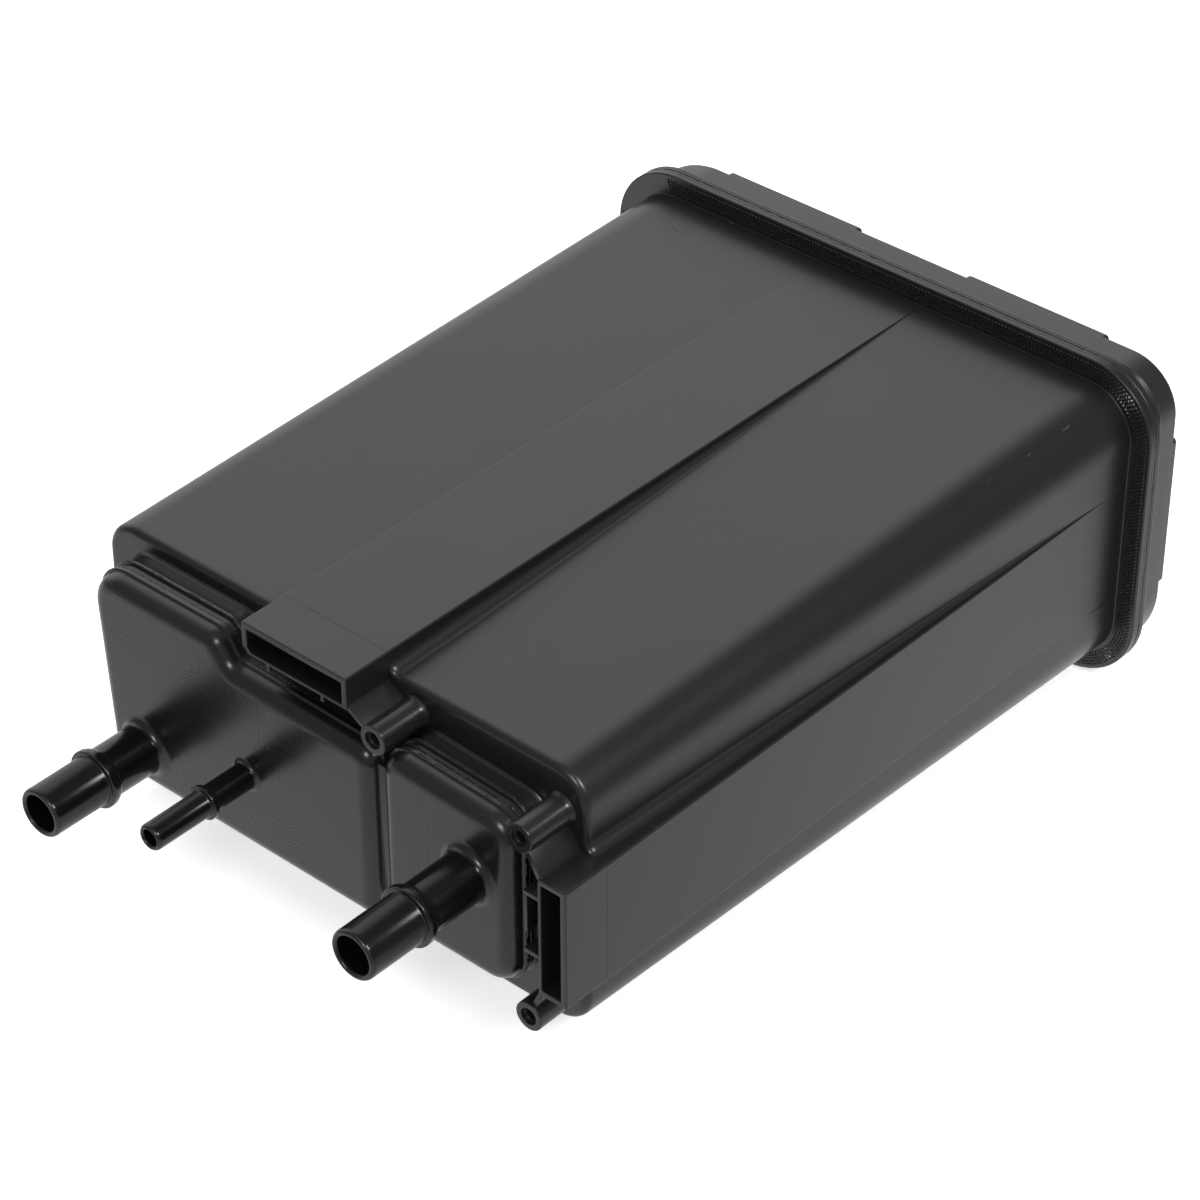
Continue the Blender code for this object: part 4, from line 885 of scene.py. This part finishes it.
def plastic_group(name, marks=(), upright=False):
    """Moulded plastic: fine grain, slight waviness, scuffs, dust and single marks, from object coordinates.

    Scratches run along Y, or along Z where upright."""
    group, start, end = new_group(name, PLASTIC_INPUTS, SURFACE_OUTPUTS)
    vector = start.outputs["Vector"]
    if upright:
        tipped = node(group, "ShaderNodeVectorRotate", {"Angle": math.pi / 2}, rotation_type="X_AXIS")
        group.links.new(vector, tipped.inputs["Vector"])
        vector = tipped.outputs["Vector"]
    fine = noise(group, vector, 2600.0, 2.0, 0.6)
    pits = noise(group, vector, 900.0, 3.0, 0.6)
    waves = noise(group, vector, 28.0, 2.0, 0.5)
    cloud = noise(group, vector, 9.0, 3.0, 0.55, 0.4)
    scratch = noise(group, stretch(group, vector, (900.0, 26.0, 900.0)), 1.0, 3.0, 0.7, 0.3)
    across = noise(group, stretch(group, vector, (40.0, 700.0, 40.0)), 1.0, 2.0, 0.6, 0.6)
    patches = noise(group, vector, 17.0, 4.0, 0.6)
    lines = remap(group, scratch, 0.66, 0.74)
    cross = remap(group, across, 0.68, 0.76)
    both = math_node(group, "MAXIMUM", lines, times(group, cross, 0.6))
    worn = times(group, both, remap(group, patches, 0.5, 0.66))
    worn = times(group, worn, start.outputs["Scuffs"], clamp=True)
    specks = node(group, "ShaderNodeTexVoronoi", {"Scale": 330.0, "Randomness": 1.0})
    group.links.new(vector, specks.inputs["Vector"])
    dust = remap(group, specks.outputs["Distance"], 0.03, 0.06, 1.0, 0.0)
    dust = times(group, dust, remap(group, pits, 0.6, 0.66))
    mark = math_node(group, "MAXIMUM", times(group, worn, 0.6), times(group, dust, 0.6))
    scars = 0.0
    for values in marks:
        scars = math_node(group, "MAXIMUM", scars, mark_mask(group, start.outputs["Vector"], *values))
    if marks:
        mark = math_node(group, "MAXIMUM", mark, times(group, scars, 0.7))
    colour = mix_colour(group, mark, start.outputs["Colour"], start.outputs["Scuff Colour"])
    group.links.new(colour, end.inputs["Colour"])
    rough = plus(group, start.outputs["Roughness"], remap(group, cloud, 0.3, 0.7, -0.03, 0.03))
    rough = plus(group, rough, remap(group, fine, 0.3, 0.7, -0.02, 0.02))
    rough = plus(group, rough, times(group, mark, 0.12), clamp=True)
    group.links.new(rough, end.inputs["Roughness"])
    grain = plus(group, times(group, fine, 0.35), times(group, pits, 0.4))
    grain = times(group, grain, start.outputs["Grain"])
    height = plus(group, grain, times(group, waves, 6.0))
    height = math_node(group, "SUBTRACT", height, times(group, worn, 0.5))
    if marks:
        height = math_node(group, "SUBTRACT", height, times(group, scars, 10.0))
    group.links.new(height, end.inputs["Height"])
    return group


def grains_group():
    """Loose or porous matter: cells of one size with uneven tone and painted shade that darkens them towards
    their edges, from object coordinates.
    """
    group, start, end = new_group("packed_matter", MATTER_INPUTS, SURFACE_OUTPUTS)
    vector = start.outputs["Vector"]
    cells = node(group, "ShaderNodeTexVoronoi", {"Randomness": 1.0})
    group.links.new(vector, cells.inputs["Vector"])
    group.links.new(start.outputs["Cell Scale"], cells.inputs["Scale"])
    fine = noise(group, vector, 1500.0, 3.0, 0.6)
    cell_dome_and_gap_shade = remap(group, cells.outputs["Distance"], 0.1, 0.6, 1.0, 0.0)
    cell_dome_and_gap_shade = times(group, cell_dome_and_gap_shade, remap(group, fine, 0.25, 0.75, 0.6, 1.0))
    # Colour follows the cell domes: darker towards the cell edges is painted shade in the gaps between the
    # grains, and the fine noise adds uneven tone.
    colour = mix_colour(group, cell_dome_and_gap_shade, start.outputs["Dark"], start.outputs["Light"])
    group.links.new(colour, end.inputs["Colour"])
    rough = plus(group, start.outputs["Roughness"], remap(group, fine, 0.3, 0.7, -0.05, 0.05))
    group.links.new(rough, end.inputs["Roughness"])
    group.links.new(plus(group, cell_dome_and_gap_shade, times(group, fine, 0.3)), end.inputs["Height"])
    return group


def group_material(name, group, values, bump, metallic=0.0, ior=1.6, turned=0.0):
    """Principled material fed by a group on object coordinates, with its bump height in millimetres.

    A turned finish spreads highlights along Y."""
    made = bpy.data.materials.new(name)
    made.use_nodes = True
    tree = made.node_tree
    shader = tree.nodes["Principled BSDF"]
    shader.inputs["Metallic"].default_value = metallic
    shader.inputs["IOR"].default_value = ior
    if turned:
        shader.inputs["Anisotropic"].default_value = turned
        along = node(tree, "ShaderNodeCombineXYZ", {"X": 0.03, "Y": 1.0, "Z": 0.04})
        tree.links.new(along.outputs[0], shader.inputs["Tangent"])
    where = tree.nodes.new("ShaderNodeTexCoord")
    core = tree.nodes.new("ShaderNodeGroup")
    core.node_tree = group
    for key, value in values.items():
        core.inputs[key].default_value = value
    tree.links.new(where.outputs["Object"], core.inputs["Vector"])
    tree.links.new(core.outputs["Colour"], shader.inputs["Base Color"])
    tree.links.new(core.outputs["Roughness"], shader.inputs["Roughness"])
    raised = node(tree, "ShaderNodeBump", {"Strength": 1.0, "Distance": bump * MM})
    tree.links.new(core.outputs["Height"], raised.inputs["Height"])
    tree.links.new(raised.outputs["Normal"], shader.inputs["Normal"])
    return made


def grey(value):
    """Opaque grey."""
    return (value, value, value, 1.0)


def plastic_values(colour, scuff, rough, grain, scuffs=1.0):
    """Input values of one moulded plastic finish."""
    return {"Colour": grey(colour), "Scuff Colour": grey(scuff), "Roughness": rough, "Grain": grain,
            "Scuffs": scuffs}


def matter_values(dark, light, cells, rough):
    """Input values of one loose or porous finish."""
    return {"Dark": grey(dark), "Light": grey(light), "Cell Scale": cells, "Roughness": rough}


# Stage
def light_path(tree):
    """Camera ray and mirror ray switches: the second covers glossy and transmission rays."""
    path = tree.nodes.new("ShaderNodeLightPath")
    mirror = math_node(tree, "MAXIMUM", path.outputs["Is Glossy Ray"], path.outputs["Is Transmission Ray"])
    return path.outputs["Is Camera Ray"], mirror


def mix_shader(tree, factor, a, b):
    """Mix of two shader outputs."""
    made = tree.nodes.new("ShaderNodeMixShader")
    tree.links.new(factor, made.inputs[0])
    tree.links.new(a, made.inputs[1])
    tree.links.new(b, made.inputs[2])
    return made.outputs[0]


def paper_material():
    """White floor paper that shows white to the camera and in reflections, and keeps the shadow."""
    paper = bpy.data.materials.new("floor_paper")
    paper.use_nodes = True
    tree = paper.node_tree
    shader = tree.nodes["Principled BSDF"]
    shader.inputs["Base Color"].default_value = grey(FLOOR_GREY)
    shader.inputs["Roughness"].default_value = FLOOR_ROUGH
    camera_ray, mirror_ray = light_path(tree)
    shader.inputs["Emission Color"].default_value = grey(1.0)
    tree.links.new(times(tree, camera_ray, FLOOR_WHITE), shader.inputs["Emission Strength"])
    where = tree.nodes.new("ShaderNodeTexCoord")
    reach = node(tree, "ShaderNodeVectorMath", operation="DISTANCE")
    reach.inputs[1].default_value = GLOW_POINT
    tree.links.new(where.outputs["Object"], reach.inputs[0])
    glow = node(tree, "ShaderNodeEmission", {"Color": grey(1.0)})
    fading = remap(tree, reach.outputs["Value"], GLOW_NEAR, GLOW_FAR, GLOW_FULL, GLOW_LEAST)
    tree.links.new(fading, glow.inputs["Strength"])
    out = tree.nodes["Material Output"]
    tree.links.new(mix_shader(tree, mirror_ray, shader.outputs[0], glow.outputs[0]), out.inputs["Surface"])
    return paper


def studio_world():
    """White for the camera, a white sweep behind the part in reflections, and a soft level for the rest."""
    world = bpy.data.worlds.new("studio")
    world.use_nodes = True
    tree = world.node_tree
    tree.nodes.clear()
    camera_ray, mirror_ray = light_path(tree)
    seen = node(tree, "ShaderNodeBackground", {"Color": grey(1.0), "Strength": 1.0})
    felt = node(tree, "ShaderNodeBackground", {"Color": grey(1.0), "Strength": SOFT_LEVEL})
    sweep = node(tree, "ShaderNodeBackground", {"Color": grey(1.0)})
    where = tree.nodes.new("ShaderNodeTexCoord")
    facing = node(tree, "ShaderNodeVectorMath", operation="DOT_PRODUCT")
    facing.inputs[1].default_value = SWEEP
    tree.links.new(where.outputs["Generated"], facing.inputs[0])
    rising = remap(tree, facing.outputs["Value"], SWEEP_START, SWEEP_FULL, SWEEP_LEAST, SWEEP_MOST)
    tree.links.new(rising, sweep.inputs["Strength"])
    mirrored = mix_shader(tree, mirror_ray, felt.outputs[0], sweep.outputs[0])
    out = tree.nodes.new("ShaderNodeOutputWorld")
    tree.links.new(mix_shader(tree, camera_ray, mirrored, seen.outputs[0]), out.inputs["Surface"])
    return world


def build_stage():
    """White floor, white surroundings for the camera, and soft lights."""
    bm = bmesh.new()
    bmesh.ops.create_grid(bm, x_segments=1, y_segments=1, size=FLOOR_HALF)
    floor = finish("floor", bm)
    floor.data.materials.append(paper_material())
    bpy.context.scene.world = studio_world()
    for name, spot, size, power, mirrored in LAMPS:
        light = bpy.data.lights.new(name, "AREA")
        light.shape = "SQUARE"
        light.size = size
        light.energy = power
        lamp = bpy.data.objects.new(name, light)
        lamp.location = spot
        lamp.rotation_euler = (Vector(LAMP_AIM) - Vector(spot)).to_track_quat("-Z", "Y").to_euler()
        lamp.visible_camera = False
        lamp.visible_glossy = mirrored
        bpy.context.scene.collection.objects.link(lamp)


def build_camera():
    """Camera solved from the photograph."""
    right = Vector(CAMERA_RIGHT).normalized()
    back = Vector(CAMERA_BACK).normalized()
    up = back.cross(right).normalized()
    right = up.cross(back).normalized()
    turn = Matrix((right, up, back)).transposed().to_4x4()
    roll = Matrix.Rotation(math.radians(CAMERA_ROLL), 4, "Z")
    data = bpy.data.cameras.new("camera")
    data.lens = CAMERA_LENS
    data.sensor_width = CAMERA_SENSOR
    data.clip_end = CAMERA_REACH
    camera = bpy.data.objects.new("camera", data)
    camera.matrix_world = Matrix.Translation(place(*CAMERA_PLACE)) @ turn @ roll
    bpy.context.scene.collection.objects.link(camera)
    bpy.context.scene.camera = camera


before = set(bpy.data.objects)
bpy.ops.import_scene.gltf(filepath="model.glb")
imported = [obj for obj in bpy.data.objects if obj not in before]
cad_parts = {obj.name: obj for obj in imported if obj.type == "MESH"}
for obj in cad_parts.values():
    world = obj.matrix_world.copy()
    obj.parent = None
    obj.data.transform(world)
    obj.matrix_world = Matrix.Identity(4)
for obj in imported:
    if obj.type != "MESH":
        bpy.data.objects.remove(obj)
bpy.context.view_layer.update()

plastic = plastic_group("moulded_plastic")
housing_surface = plastic_group("housing_surface", HOUSING_MARKS)
cover_surface = plastic_group("port_cover_surface", COVER_MARKS, upright=True)
cap_surface = plastic_group("rear_cover_surface", CAP_MARKS)
matter = grains_group()
housing_values = plastic_values(0.008, 0.045, 0.31, 0.7)
housing_black = group_material("housing_plastic", housing_surface, housing_values, 0.010)
cover_values = plastic_values(0.008, 0.045, 0.27, 0.3)
cover_black = group_material("cover_plastic", cover_surface, cover_values, 0.008)
port_values = plastic_values(0.003, 0.04, 0.2, 0.15, 0.5)
turned_black = group_material("turned_plastic", plastic, port_values, 0.005, ior=1.47, turned=0.5)
boss_values = plastic_values(0.009, 0.04, 0.27, 0.3, 0.5)
boss_black = group_material("boss_plastic", plastic, boss_values, 0.006, turned=0.7)
cap_black = group_material("cap_plastic", cap_surface, plastic_values(0.012, 0.05, 0.33, 0.8), 0.011)
flash_black = group_material("flash_plastic", plastic, plastic_values(0.012, 0.06, 0.2, 3.0), 0.07)

housing = build_housing()
cover = build_port_cover()
cap = build_rear_cover()
front_flash, rear_flash = build_flash()
for piece, materials, nodes, slot_name in (
        (housing, (housing_black, boss_black), ("housing",), "housing_black"),
        (cover, (cover_black, turned_black), ("port_cover",), "port_cover_black"),
        (cap, (cap_black,), ("rear_cover",), "rear_cover_black"),
        (front_flash, (flash_black,), (), "housing_black"),
        (rear_flash, (flash_black,), (), "rear_cover_black")):
    for material in materials:
        piece.data.materials.append(material)
    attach(piece, "root")
    if nodes:
        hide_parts(*nodes)

# Finishes of the inner pieces, by a word in the node's name
plate_values = plastic_values(0.1, 0.2, 0.5, 1.0)
wire_values = plastic_values(0.55, 0.4, 0.28, 1.0)
finishes = {
    "carbon": group_material("carbon_pellets", matter, matter_values(0.004, 0.03, 480.0, 0.8), 0.6),
    "pad": group_material("fleece", matter, matter_values(0.42, 0.62, 1500.0, 0.93), 0.2),
    "diffuser": group_material("open_foam", matter, matter_values(0.03, 0.17, 900.0, 0.93), 0.4),
    "plate": group_material("plate_plastic_finish", plastic, plate_values, 0.02),
    "spring": group_material("spring_wire", plastic, wire_values, 0.01, metallic=1.0),
}
for name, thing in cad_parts.items():
    if name in ("housing", "port_cover", "rear_cover"):
        continue
    for word, material in finishes.items():
        if word in name:
            thing.data.materials.clear()
            thing.data.materials.append(material)
            break

build_stage()
build_camera()
bpy.context.scene.view_settings.view_transform = "Standard"
